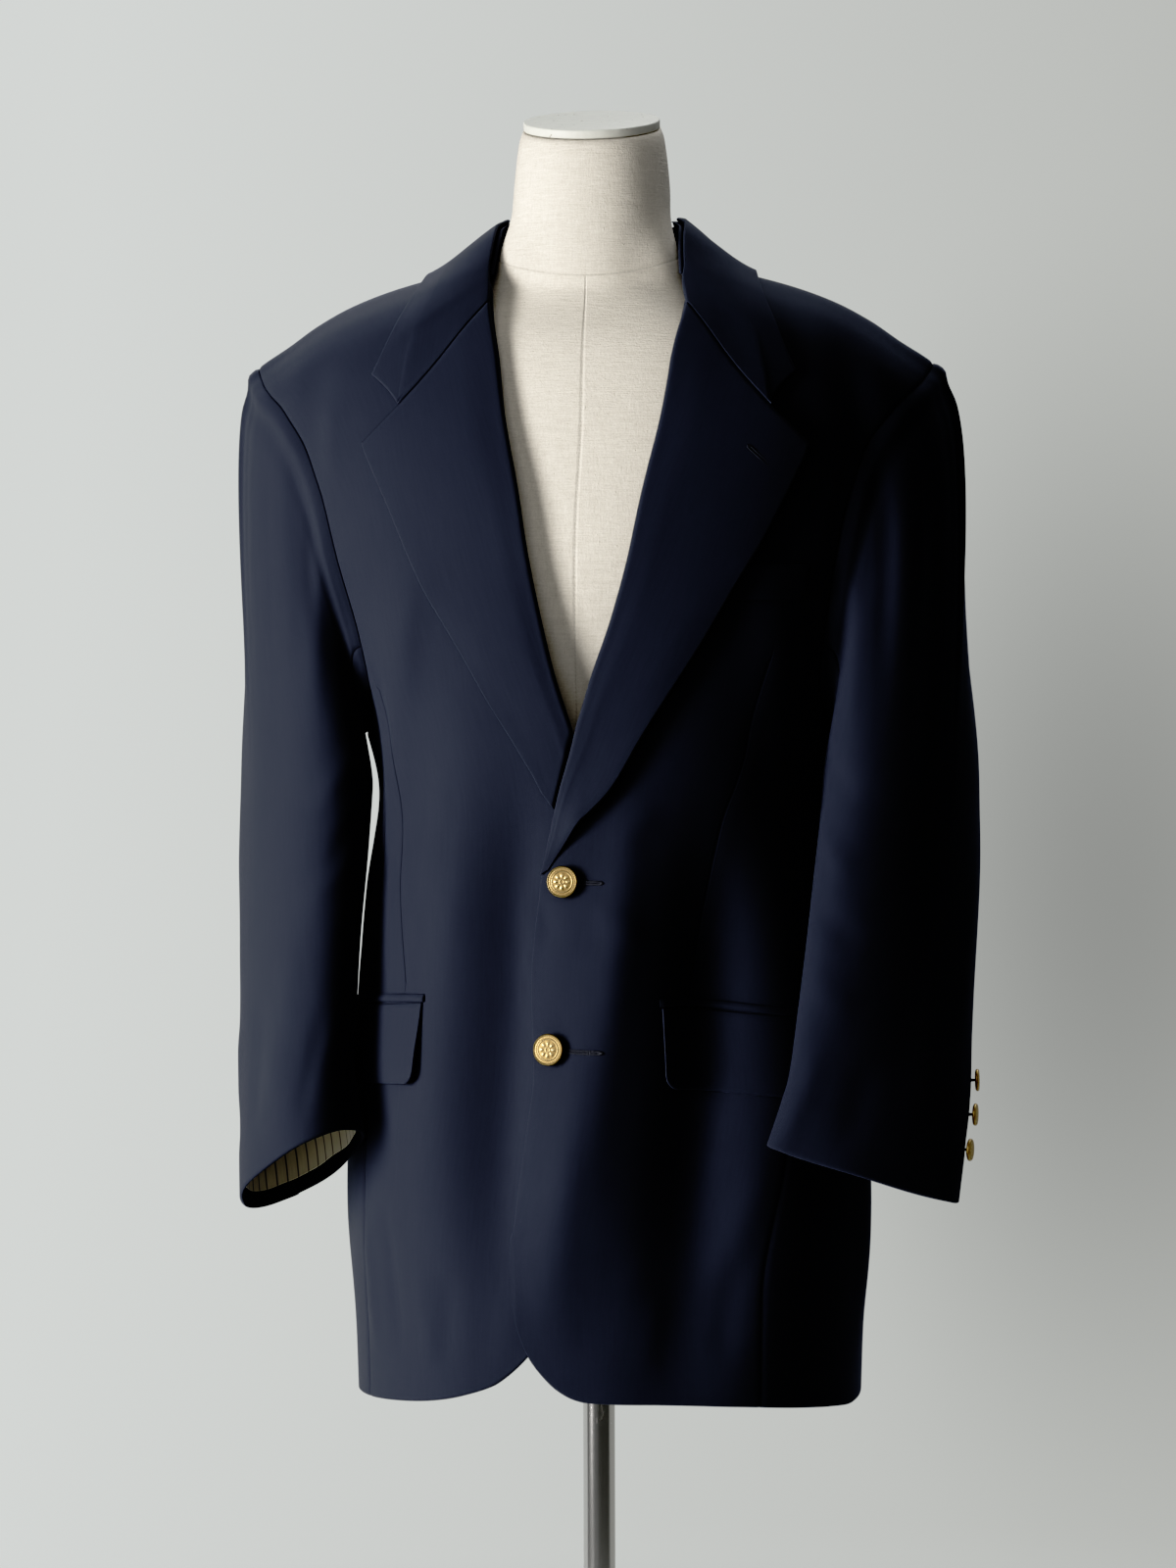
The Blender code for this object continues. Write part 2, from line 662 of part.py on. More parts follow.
def outward_normals(points):
    """Normals of a sleeve's grid, turned away from its middle."""
    normals = grid_normals(points, around=True)
    middle = points.mean(axis=1, keepdims=True)
    facing = ((points - middle) * normals).sum(-1)
    return normals * np.sign(np.median(facing))


def sleeve_grid(side, table):
    """A whole sleeve: rows from the armhole to the cuff, columns round the arm."""
    sign = side_sign(side)
    heights = [row[0] for row in table]
    loop, normals = armhole_loop(side)
    tangent = unit(np.roll(loop, -1, axis=0) - np.roll(loop, 1, axis=0))
    away = unit(np.cross(tangent, normals))
    away *= np.sign((away * np.array([sign, 0, 0.4])).sum(-1, keepdims=True))
    start = loop + away * (SEAM_GAP / MM) * 1.5
    step = np.linalg.norm(np.roll(loop, -1, axis=0) - loop, axis=1)
    travelled = np.concatenate([[0], np.cumsum(step)[:-1]])
    count = len(loop)
    bottom = int(np.argmin(loop[:, 2]))
    # The loop's top is the outer side of the arm, and its lowest point the inner side.
    angles = np.where(
        np.arange(count) <= bottom,
        180 * travelled / travelled[bottom],
        180 + 180 * (travelled - travelled[bottom]) / (step.sum() - travelled[bottom]),
    )
    first = sleeve_ring(side, table, heights[0], angles)
    high = (loop[:, 2] - loop[:, 2].min()) / np.ptp(loop[:, 2])
    outward = np.array([sign, 0, 0.0])
    lead = unit(away * high[:, None] + outward * (1.15 - high[:, None]))
    rows = [start]
    for k in range(1, CAP_ROWS + 1):
        t = k / CAP_ROWS
        reach = CAP_REACH[side] * (0.35 + 0.65 * high)[:, None]
        fall = CAP_FALL * (0.25 + 1.6 * high)[:, None]
        p0, p3 = start, first
        p1 = p0 + lead * reach
        p2 = p3 + np.array([0, 0, 1.0]) * fall
        rows.append((1 - t)**3 * p0 + 3 * (1 - t)**2 * t * p1 + 3 * (1 - t) * t**2 * p2 + t**3 * p3)
    for height in heights[1:]:
        rows.append(sleeve_ring(side, table, height, angles))
    points = np.array(rows)
    outwards = outward_normals(points)
    # The sleeve head leaves the shoulder in the body's own direction.
    outwards[0] = unit(outwards[0] * (1 - high[:, None]) + normals * high[:, None])
    return points, outwards, angles


FRONT_SEAM_ANGLE, BACK_SEAM_ANGLE = 125, 262
CUFF_LINING_ROWS = slice(CAP_ROWS + 3, CAP_ROWS + 6)


def make_sleeves(look, satin):
    for side, table in (("left", SLEEVE_LEFT), ("right", SLEEVE_RIGHT)):
        points, normals, angles = sleeve_grid(side, table)
        front = int(np.argmin(np.abs(angles - FRONT_SEAM_ANGLE)))
        back = int(np.argmin(np.abs(angles - BACK_SEAM_ANGLE)))
        under = np.arange(front, back + 1)
        top = np.concatenate([np.arange(back, len(angles)), np.arange(0, front + 1)])
        for name, picked in (("top_sleeve_", top), ("under_sleeve_", under)):
            panel = pull_in(points[:, picked], ("left", "right"))
            cloth_wall(name + side, panel, normals[:, picked], look)
        if side == "right":
            make_cuff_lining(points[CUFF_LINING_ROWS], normals[CUFF_LINING_ROWS], satin)
        make_cuff_buttons(side, table, angles[back])


def make_cuff_lining(points, normals, satin):
    """The striped lining of the wearer's right sleeve, as far up as the open cuff shows it."""
    inset = CLOTH / MM + 1.3
    cloth_wall("sleeve_lining_right", points - normals * inset, normals, satin, LINING, around=True)


def make_cuff_buttons(side, table, seam_angle):
    """Three small buttons in a row on the top sleeve, beside the back seam."""
    for number, above in enumerate(CUFF_BUTTON_HEIGHTS, 1):
        height = table[-1][0] + above
        angle = seam_angle + 24
        here = sleeve_ring(side, table, height, np.array([angle - 3, angle, angle + 3]))
        higher = sleeve_ring(side, table, height + 4, np.array([angle]))[0]
        facing = unit(np.cross(here[2] - here[0], higher - here[1]))
        middle = sleeve_ring(side, table, height, np.linspace(0, 330, 12)).mean(axis=0)
        facing = facing * np.sign(np.dot(facing, here[1] - middle))
        button("cuff_button_%s_%d" % (side, number), here[1], facing, CUFF_BUTTON_RADIUS)


def button(name, place, facing, radius):
    """A domed metal button with a raised rim, on a short shank."""
    shank = radius * 0.22
    gap = 0.8
    rise = 2.6 if radius > 9 else 2.2
    profile = (
        (0, gap), (shank, gap), (shank, gap + rise), (radius * 0.86, gap + rise),
        (radius, gap + rise + 0.9), (radius, gap + rise + 1.7), (radius * 0.9, gap + rise + 2.3),
        (radius * 0.78, gap + rise + 1.9), (radius * 0.4, gap + rise + 2.5),
        (0, gap + rise + 2.7),
    )
    return turned(name, profile, BRASS, sides=20, centre=place, axis=facing)


# ---------------------------------------------------------------- lapels and collar

LAPEL_SHARES = (0, 0.07, 0.2, 0.4, NOTCH_SHARE, 0.8, 1)


def lapel_grid(side, shares, rungs):
    """Turns and levels of a lapel. Rung 0 is at its lower end and 1 at the gorge."""
    table = LAPEL_LEFT if side == "left" else LAPEL_RIGHT
    keyed = [(k / (len(table) - 1),) + row for k, row in enumerate(table)]
    rungs = np.asarray(rungs, float)[:, None]
    shares = np.asarray(shares, float)[None]
    roll_level, roll_turn, edge_level, edge_turn = (
        smooth(keyed, rungs, value=1 + k) for k in range(4))
    sign = 1 if side == "left" else -1
    turn = sign * (roll_turn + (edge_turn - roll_turn) * shares)
    bow = GORGE_BOW * np.sin(np.pi * shares) * rungs**6
    return turn, roll_level + (edge_level - roll_level) * shares - bow


def lapel_lift(shares, rungs):
    """The height of a lapel's outer face: it puffs near the roll and lies flat at its edge."""
    shares = np.asarray(shares)[None]
    rungs = np.asarray(rungs)[:, None]
    puff = (LAPEL_PUFF - LAPEL_LIFT) * ease(shares / 0.16) * ease(rungs / 0.25)
    settle = (LAPEL_PUFF - LAPEL_EDGE_LIFT) * ease((shares - 0.3) / 0.7) * ease(rungs / 0.25)
    return LAPEL_LIFT + puff - settle + 0.4 * ease(shares / 0.2)


def make_lapels(look):
    for side in ("left", "right"):
        rungs = np.linspace(0, 1, 15)
        turns, levels = lapel_grid(side, LAPEL_SHARES, rungs)
        lift = lapel_lift(LAPEL_SHARES, rungs) + tucked(side, turns, levels)
        points = pull_in(lifted(turns, levels, lift), ("last",))
        cloth_wall("lapel_" + side, points, body_normal(turns, levels), look, DOUBLE_CLOTH)


def collar_points(shares):
    """The collar's outer face: columns from the left gorge round the back to the right one."""
    order = [(k, 1) for k in range(len(COLLAR))] + [(k, -1) for k in range(len(COLLAR) - 2, -1, -1)]
    shares = np.asarray(shares, float)
    columns = []
    for number, sign in order:
        rung = dict(zip(COLLAR_COLUMNS, COLLAR[number]))
        side = rung["fold_side"] + (rung["edge_side"] - rung["fold_side"]) * shares
        over = rung["fold_over"] + (rung["edge_over"] - rung["fold_over"]) * shares
        if number == 0:
            knots = ((0, rung["fold_side"], rung["fold_over"]),
                     (COLLAR_NOTCH_SHARE,) + COLLAR_NOTCH,
                     (1, rung["edge_side"], rung["edge_over"]))
            side = np.interp(shares, [k[0] for k in knots], [k[1] for k in knots])
            over = np.interp(shares, [k[0] for k in knots], [k[2] for k in knots])
        fold = rung["fold_lift"]
        lift = COLLAR_EDGE_LIFT + (fold - COLLAR_EDGE_LIFT) * (1 - shares) ** 1.6
        lift = lift + 1.6 * np.sin(np.pi * shares)
        columns.append(over_shoulder(COLLAR_CENTRE + sign * side, over, lift))
    return np.stack(columns, axis=1)


COLLAR_SHARES = (0, 0.1, 0.25, 0.45, COLLAR_NOTCH_SHARE, 0.85, 1)
STAND_INSET, STAND_TUCK = 4.5, 1.8   # the stand's top edge below and inside the fold


def make_collar(look):
    points = collar_points(COLLAR_SHARES)
    normals = grid_normals(points)
    normals *= np.sign(normals[..., 2].mean())
    cloth_wall("collar_fall", pull_in(points, ("left", "right")), normals, look, DOUBLE_CLOTH)
    first, last = 3, points.shape[1] - 3
    fold = points[0, first:last]
    inward = unit(np.array([COLLAR_CENTRE, RIDGE_Y, 0]) - fold * np.array([1, 1, 0]))
    top = fold - np.array([0, 0, STAND_INSET]) + inward * STAND_TUCK
    order = [COLLAR[k] for k in range(first, len(COLLAR))]
    order = order + order[-2::-1]
    signs = [1] * (len(COLLAR) - first) + [-1] * (len(COLLAR) - first - 1)
    foot = []
    for row, sign in zip(order, signs):
        foot.append(over_shoulder(np.array(COLLAR_CENTRE + sign * (row[0] + 3.5)),
                                  np.array(float(row[1]) * 0.98), np.array(0.9)))
    foot = np.array(foot)
    rows = np.array([top + (foot - top) * share for share in (0, 0.5, 1)])
    normals = grid_normals(rows)
    outward = rows - np.array([COLLAR_CENTRE, RIDGE_Y, 0]) * np.array([1, 1, 0])
    outward[..., 2] = 0
    normals *= np.sign((normals * outward).sum(-1).mean())
    cloth_wall("collar_stand", rows, normals, look)


# ---------------------------------------------------------------- pockets

def flap_grid(side, across, down):
    """Turns and levels of a flap with one round corner at its front and one at its back."""
    across, down = np.meshgrid(np.asarray(across, float), np.asarray(down, float))
    turn = FLAP_START[side] + FLAP_TURN * across
    slope = FLAP_SLOPE * FLAP_TURN * across
    reach = np.minimum(across, 1 - across) * FLAP_LENGTH
    inside = np.maximum(FLAP_CORNER - reach, 0)
    corner = FLAP_CORNER - np.sqrt(np.maximum(FLAP_CORNER**2 - inside**2, 0))
    level = FLAP_TOP - slope - (FLAP_HEIGHT - corner) * down
    return side_sign(side) * turn, level


FLAP_ACROSS = (0, 0.012, 0.035, 0.06, 0.2, 0.35, 0.5, 0.65, 0.8, 0.94, 0.965, 0.988, 1)
FLAP_DOWN = (0, 0.25, 0.5, 0.75, 1)
FLAP_LIFT = 2.2


def flap_lift(side, across, down):
    """A flap stands off a little more towards its lower edge, and most at its front corner."""
    across, down = np.meshgrid(np.asarray(across, float), np.asarray(down, float))
    flare = 3.2 if side == "right" else 1.0
    return FLAP_LIFT + 0.9 * ease(down) + flare * ease(1 - across / 0.3) * ease(down)


def make_pockets(look):
    for side in ("left", "right"):
        turns, levels = flap_grid(side, FLAP_ACROSS, FLAP_DOWN)
        points = lifted(turns, levels, flap_lift(side, FLAP_ACROSS, FLAP_DOWN))
        cloth_wall("flap_" + side, points, body_normal(turns, levels), look)
        across = np.linspace(-0.01, 1.01, 17)
        turn = side_sign(side) * (FLAP_START[side] + FLAP_TURN * across)
        top = FLAP_TOP + 0.6 - FLAP_SLOPE * FLAP_TURN * across
        turns = np.array([turn, turn])
        levels = np.array([top + JET_HEIGHT, top])
        points = lifted(turns, levels, np.full(turns.shape, 2.7))
        cloth_wall("jet_" + side, points, body_normal(turns, levels), look)
    turn, height = np.meshgrid(np.linspace(*WELT_TURN, 11), WELT_HEIGHT * np.array([1, 0.5, 0]))
    turns, levels = turn, WELT_LEVEL + height
    points = lifted(turns, levels, np.full(turns.shape, 2.6))
    cloth_wall("chest_welt", points, body_normal(turns, levels), look)


def make_front_buttons():
    for name, turn, level in FRONT_BUTTONS:
        place = body_point(turn, level)
        button(name, place, body_normal(turn, level), BUTTON_RADIUS)


# ---------------------------------------------------------------- the dress form

def form_ring(level, sides):
    a = np.linspace(0, 2 * np.pi, sides, endpoint=False)

    def value(name):
        return float(smooth(FORM_RINGS[::-1], level, value=FORM_COLUMNS.index(name)))

    power = 2 / FORM_EXPONENT
    x = COLLAR_CENTRE + value("half_width") * np.sign(np.sin(a)) * np.abs(np.sin(a)) ** power
    depth = np.where(np.cos(a) > 0, value("front"), value("back"))
    y = -depth * np.sign(np.cos(a)) * np.abs(np.cos(a)) ** power
    z = level + y * math.tan(math.radians(value("tilt")))
    return np.stack([x, y + RIDGE_Y * ease((1480 - level) / 60), z], -1)


def make_form():
    sides = 32
    levels = [row[0] for row in FORM_RINGS]
    rings = [form_ring(level, sides) for level in levels]
    verts = [rings[0].mean(axis=0)]
    for points in rings:
        verts.extend(points)
    verts.append(rings[-1].mean(axis=0))
    faces = []
    last = len(verts) - 1
    for s in range(sides):
        t = (s + 1) % sides
        faces.append((0, 1 + s, 1 + t))
        for k in range(len(rings) - 1):
            base = 1 + k * sides
            faces.append((base + s, base + sides + s, base + sides + t, base + t))
        faces.append((last, last - sides + t, last - sides + s))
    add_object("form_torso", verts, faces, LINEN, 60)

    tilt = math.radians(CAP_TILT)
    up = (0, -math.sin(tilt), math.cos(tilt))
    top = rings[0].mean(axis=0) + np.array(up) * 0.6
    r, h = CAP_RADIUS, CAP_THICKNESS
    profile = ((0, 0), (r - 1, 0), (r, 1), (r, h - 1.5), (r - 1.5, h), (0, h))
    turned("neck_cap", profile, PAINT, sides=32, centre=top, axis=up)

    pole_top = FORM_RINGS[-1][0] - 0.3
    r = POLE_RADIUS
    foot = BASE_THICKNESS + 0.3
    turned("pole", ((0, foot), (r, foot), (r, pole_top), (0, pole_top)), CHROME, sides=24)
    r = BASE_RADIUS
    profile = ((0, 0), (r - 2, 0), (r, 2), (r, BASE_THICKNESS - 4), (r - 4, BASE_THICKNESS),
               (0, BASE_THICKNESS))
    turned("base_plate", profile, STEEL, sides=48)
    make_socket()


def make_socket():
    """A plain collar round the pole's foot, open through its middle."""
    inner, outer = POLE_RADIUS + 0.3, SOCKET_RADIUS
    low, high = BASE_THICKNESS + 0.3, BASE_THICKNESS + SOCKET_HEIGHT
    profile = ((inner, low), (outer, low), (outer, low + 6), (outer - 4, low + 10),
               (outer - 4, high - 1), (outer - 5, high), (inner, high))
    sides = 24
    a = np.linspace(0, 2 * np.pi, sides, endpoint=False)
    verts = [(r * math.cos(t), r * math.sin(t), z) for r, z in profile for t in a]
    faces = []
    count = len(profile)
    for k in range(count):
        n = (k + 1) % count
        for s in range(sides):
            t = (s + 1) % sides
            faces.append((k * sides + s, k * sides + t, n * sides + t, n * sides + s))
    add_object("pole_socket", verts, faces, CHROME)


# ---------------------------------------------------------------- the whole object

for leftover in list(bpy.data.objects):
    bpy.data.objects.remove(leftover)

make_form()
make_body(NAVY)
make_sleeves(NAVY, SATIN)
make_lapels(NAVY)
make_collar(NAVY)
make_pockets(NAVY)
make_front_buttons()
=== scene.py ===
# %% [markdown]
# # A navy blazer on a dress form
#
# This lesson builds the looks of a single-breasted wool blazer that hangs on a limbless,
# linen-covered dress form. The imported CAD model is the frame: it fixes every size and place.
# Each cloth panel is then made again here as a fine surface on the same pattern, with the
# smaller folds, pressed seams and rolled edges that coarse CAD can't carry.
#
# Lengths in the tables are millimetres and angles are degrees, and the last step of every
# mesh turns them into metres. The front faces -Y, and the wearer's left is +X.

# %% Load the frame
import math

import bpy
import numpy as np
from mathutils import Matrix, Vector


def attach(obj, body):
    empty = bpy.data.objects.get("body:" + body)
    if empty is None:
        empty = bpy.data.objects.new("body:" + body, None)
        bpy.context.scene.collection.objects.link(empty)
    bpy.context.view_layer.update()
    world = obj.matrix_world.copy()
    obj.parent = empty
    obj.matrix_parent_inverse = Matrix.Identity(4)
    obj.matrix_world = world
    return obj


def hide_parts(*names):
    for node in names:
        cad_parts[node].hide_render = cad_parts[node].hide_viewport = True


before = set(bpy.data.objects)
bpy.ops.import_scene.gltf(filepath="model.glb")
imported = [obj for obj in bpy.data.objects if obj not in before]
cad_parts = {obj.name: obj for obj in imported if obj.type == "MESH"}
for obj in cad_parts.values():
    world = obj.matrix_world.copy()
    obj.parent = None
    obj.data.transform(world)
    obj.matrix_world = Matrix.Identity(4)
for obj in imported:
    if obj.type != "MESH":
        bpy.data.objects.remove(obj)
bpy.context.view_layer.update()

MM = 0.001

# %% [markdown]
# ## The body of the blazer as one surface
#
# A tailor's body is a stack of rounded rings: narrow at the waist, wide at the shoulders, and
# sloping down with the shoulder line. Sculpting it by hand would lose the pattern, so it is a
# function instead. turn goes round the body, where 0 is centre front and 90 the wearer's left
# side, and level is the height of a ring at the middle of the body. Every panel is a part of
# this surface between two seams, so neighbouring panels always meet.

# %% The rings and the shoulder line
RING_COLUMNS = ("level", "centre", "half_width", "front", "back", "exponent", "slope")
BODY_RINGS = (
    (630, 8, 180, 170, 152, 2.3, 0.00),
    (700, 8, 182, 168, 150, 2.3, 0.00),
    (800, 8, 186, 164, 144, 2.3, 0.00),
    (880, 8, 184, 158, 134, 2.3, 0.00),
    (950, 7, 177, 151, 122, 2.3, 0.00),
    (1020, 5, 169, 145, 111, 2.3, 0.00),
    (1085, 4, 161, 141, 108, 2.3, 0.00),
    (1130, 2, 168, 139, 112, 2.2, 0.00),
    (1200, 0, 194, 136, 120, 2.2, 0.00),
    (1280, -2, 216, 129, 124, 2.2, 0.10),
    (1340, -2, 230, 117, 122, 2.3, 0.30),
    (1390, -2, 239, 101, 112, 2.4, 0.55),
    (1430, -2, 243, 79, 92, 2.5, 0.80),
    (1455, -2, 244, 54, 64, 2.5, 0.95),
    (1469, -2, 244, 28, 33, 2.5, 1.00),
    (1473.5, -2, 244, 14, 16, 2.5, 1.00),
    (1475, -2, 244, 0, 0, 2.5, 1.00),
)
SHOULDER_COLUMNS = ("distance", "height")
SHOULDER_LINE = (
    (0, 1475), (60, 1466), (100, 1454), (143, 1442), (172, 1431),
    (197, 1417.5), (218, 1403), (237, 1391), (245, 1385), (300, 1350),
)
RIDGE_Y = 8.0        # the shoulder seam lies this far behind the form's axis
TOP_LEVEL = 1474.97  # the shoulder seam
COLLAR_CENTRE = -2.0   # the neck's middle, a little to the wearer's right
ROUND_SCALE = 2.9    # millimetres to a degree of turn, round the body


# %% Curves through the tables
def smooth(rows, at, value=1, key=0):
    """A cubic curve through two columns of a table, which never overshoots its points."""
    xs = np.array([row[key] for row in rows], float)
    ys = np.array([row[value] for row in rows], float)
    at = np.asarray(at, float)
    step = np.diff(xs)
    rise = np.diff(ys) / step
    tangent = np.concatenate([rise[:1], np.zeros(len(rise) - 1), rise[-1:]])
    same = rise[1:] * rise[:-1] > 0
    total = np.where(same, rise[1:] + rise[:-1], 1)
    tangent[1:-1] = np.where(same, 2 * rise[1:] * rise[:-1] / total, 0)
    k = np.clip(np.searchsorted(xs, at, side="right") - 1, 0, len(step) - 1)
    t = np.clip((at - xs[k]) / step[k], 0, 1)
    start = (2 * t**3 - 3 * t**2 + 1) * ys[k] + (t**3 - 2 * t**2 + t) * step[k] * tangent[k]
    return start + (3 * t**2 - 2 * t**3) * ys[k + 1] + (t**3 - t**2) * step[k] * tangent[k + 1]


def column(rows, columns, name, at):
    """A named column of a table, read at any value of its first column."""
    return smooth(rows, at, value=columns.index(name))


def ring(name, level):
    return column(BODY_RINGS, RING_COLUMNS, name, level)


def ease(t):
    """0 below 0, 1 above 1, with level ends."""
    t = np.clip(t, 0, 1)
    return t * t * (3 - 2 * t)


def bell(distance, width):
    """1 at no distance, about a third at the width and nothing far beyond it."""
    return np.exp(-(distance / width) ** 2)


def unit(vectors):
    return vectors / np.maximum(np.linalg.norm(vectors, axis=-1, keepdims=True), 1e-12)


# %% [markdown]
# ## Folds, placed one by one
#
# Cloth on a form falls in soft hollows and ridges from its points of support: the shoulders,
# the chest and the fastened buttons. A cloth simulation would find folds of its own, not
# these ones, so each is given as a line from one place to another. It rises or sinks in
# its middle and fades over its width and towards both ends. The first table repeats the
# frame's large folds, and the second adds the small ones, uneven and also round the back.

# %% The two tables of folds
FOLD_COLUMNS = ("turn", "level", "end_turn", "end_level", "width", "rise")
LARGE_FOLDS = (
    (-16.5, 1135, -23, 715, 23, -6.0),     # the hollow down the right front
    (12, 1120, -10, 700, 30, 6.0),         # the ridge down the left front
    (30, 1085, 17, 745, 30, -5.0),         # the hollow beside it
    (-28, 1265, -70, 1020, 20, 5.0),       # the right chest's fold
    (-52, 1250, -84, 1050, 20, -6.0),      # the hollow under the right arm
    (30, 1270, 62, 1060, 20, 3.0),         # the left chest's fold, in the shade
    (38, 1474, 60, 1300, 17, -5.5),        # the dent below the left shoulder
    (-44, 1450, -58, 1310, 16, -2.5),      # a shallower one on the right
    (131, 1260, 146, 1010, 17, 5.0),       # back folds, uneven and not mirrored
    (118, 1210, 128, 1040, 15, -4.0),
    (-128, 1280, -140, 1060, 19, 4.0),
    (-152, 1120, -140, 900, 21, -4.0),
    (158, 1010, 150, 690, 24, 4.0),
    (-165, 960, -170, 680, 22, -3.5),
    (78, 930, 82, 680, 20, 4.0),
    (-92, 960, -88, 690, 22, 4.0),
)
SMALL_FOLDS = (
    (-11.0, 1140, -17.5, 700, 18, -7.0),   # the right front falls in beside its edge
    (-31, 1130, -37, 740, 17, 2.0),        # and swells on the outer side of that hollow
    (10.0, 1120, -8, 705, 12, 4.2),        # the crown of the left front's ridge
    (33, 1120, 13, 600, 36, -16.0),        # and the wide fall beyond it
    (-59.8, 800, -57.0, 690, 9, 1.6),      # little hem folds on the right side
    (-50.5, 815, -44.8, 690, 8, -1.5),
    (-38, 780, -35, 682, 10, 1.3),
    (-29, 770, -31, 690, 8, -1.1),
    (-15, 760, -17, 690, 9, 0.9),
    (-10.5, 1027, -5.5, 985, 7, -1.3),     # the edge curls in below the upper button
    (-12.5, 1040, -12, 930, 9, 0.9),
    (-2, 1024, 12, 985, 8, 1.0),           # short pulls away from that button
    (3, 1050, 16, 1085, 8, 0.9),
    (38.5, 850, 24, 745, 12, 1.6),         # soft folds low on the left
    (31, 790, 26, 690, 10, -1.4),
    (4, 800, 0, 700, 11, -1.2),
    (12, 760, 9, 690, 9, 1.0),
    (51, 1343, 54, 1240, 8, -1.6),         # beside the left armhole
    (48, 1210, 58, 1130, 8, 1.2),
    (-43.5, 1392, -50, 1300, 9, 1.3),      # beside the right armhole
    (-30.8, 1239, -42.8, 1150, 9, 1.2),
    (-47, 1190, -58, 1100, 8, -1.4),
    (-34, 1120, -40, 1010, 10, 1.1),
    (-56, 1060, -53, 940, 8, 1.2),
    (70, 1100, 74, 930, 9, -1.4),
    (96, 1090, 92, 900, 11, 1.6),
    (-74, 1080, -80, 900, 9, 1.5),
    (-104, 1100, -98, 930, 10, -1.5),
    (-110, 860, -106, 690, 10, 1.6),
    (110, 850, 106, 700, 11, -1.7),
    (139, 1330, 152, 1190, 9, 1.5),        # across the back
    (124, 1340, 132, 1230, 8, -1.3),
    (-137, 1350, -150, 1200, 10, -1.5),
    (-122, 1330, -128, 1190, 8, 1.5),
    (166, 1380, 172, 1240, 12, 1.2),
    (-163, 1370, -172, 1260, 10, 1.0),
    (141, 1040, 150, 900, 10, -1.6),
    (128, 960, 134, 780, 12, 1.7),
    (-126, 1010, -131, 830, 10, 1.6),
    (-146, 860, -150, 700, 12, 1.7),
    (172, 930, 168, 760, 10, -1.4),
    (-158, 1060, -165, 930, 9, 1.2),
)


# %% Fold heights
FOLD_FADE = 0.35     # the share of a fold's length over which each of its ends fades


def fold_rise(turn, level, table, scale=ROUND_SCALE):
    """How far a table of folds lifts the cloth. For each fold: its rise, times a bell curve of
    the distance from its line over its width, eased to nothing at both of its ends. scale is
    how many millimetres a degree of turn counts for."""
    total = np.zeros(np.shape(turn))
    for row in table:
        fold = dict(zip(FOLD_COLUMNS, row))
        along = np.array([(fold["end_turn"] - fold["turn"]) * scale,
                          fold["end_level"] - fold["level"]], float)
        length = np.hypot(*along)
        side = ((turn - fold["turn"] + 180) % 360 - 180) * scale
        down = level - fold["level"]
        share = (side * along[0] + down * along[1]) / length**2
        apart = (side * along[1] - down * along[0]) / length
        ends = ease(share / FOLD_FADE) * ease((1 - share) / FOLD_FADE)
        total = total + fold["rise"] * bell(apart, fold["width"]) * ends
    return total


# %% Points and directions on the body
def body_point(turn, level, small=False):
    """The outside of the blazer at a turn and level. A superellipse ring gives the outline, the
    shoulder line lowers it, and the folds push it in and out from the axis."""
    turn, level = np.broadcast_arrays(np.asarray(turn, float), np.asarray(level, float))
    sine, cosine = np.sin(np.radians(turn)), np.cos(np.radians(turn))
    power = 2 / ring("exponent", level)
    x = ring("centre", level) + ring("half_width", level) * np.sign(sine) * np.abs(sine) ** power
    depth = np.where(cosine > 0, ring("front", level), ring("back", level))
    y = RIDGE_Y - depth * np.sign(cosine) * np.abs(cosine) ** power
    distance = np.abs(x - COLLAR_CENTRE)
    drop = TOP_LEVEL - column(SHOULDER_LINE, SHOULDER_COLUMNS, "height", distance)
    rise = fold_rise(turn, level, LARGE_FOLDS)
    if small:
        rise = rise + fold_rise(turn, level, SMALL_FOLDS)
    return np.stack([x + rise * sine, y - rise * cosine, level - ring("slope", level) * drop], -1)


def body_normal(turn, level):
    """The outward direction: across the surface, crossed with up it."""
    along = body_point(turn + 0.4, level) - body_point(turn - 0.4, level)
    high = np.minimum(level + 0.4, TOP_LEVEL)
    up = body_point(turn, high) - body_point(turn, high - 0.8)
    return unit(np.cross(along, up))


def lifted(turn, level, lift, small=True):
    """A point moved out from the body by lift millimetres."""
    return body_point(turn, level, small) + body_normal(turn, level) * np.asarray(lift)[..., None]


LOWEST_OVER = 1300   # the lowest level that a distance over the shoulder reaches
SEAM_TURN = 14.0     # over this far from the shoulder seam the cloth's direction turns up


def over_to_level(over):
    """The level of a point by its distance over the shoulder, measured down the middle."""
    levels = np.linspace(BODY_RINGS[-1][0], LOWEST_OVER, 400)
    result = np.zeros(np.shape(over))
    for face, name in ((-1, "front"), (1, "back")):
        run = np.hypot(np.diff(ring(name, levels)), np.diff(levels))
        distance = np.concatenate([[0], np.cumsum(run)])
        result = np.where(np.sign(over) == face, np.interp(np.abs(over), distance, levels), result)
    return np.where(np.asarray(over) == 0, BODY_RINGS[-1][0], result)


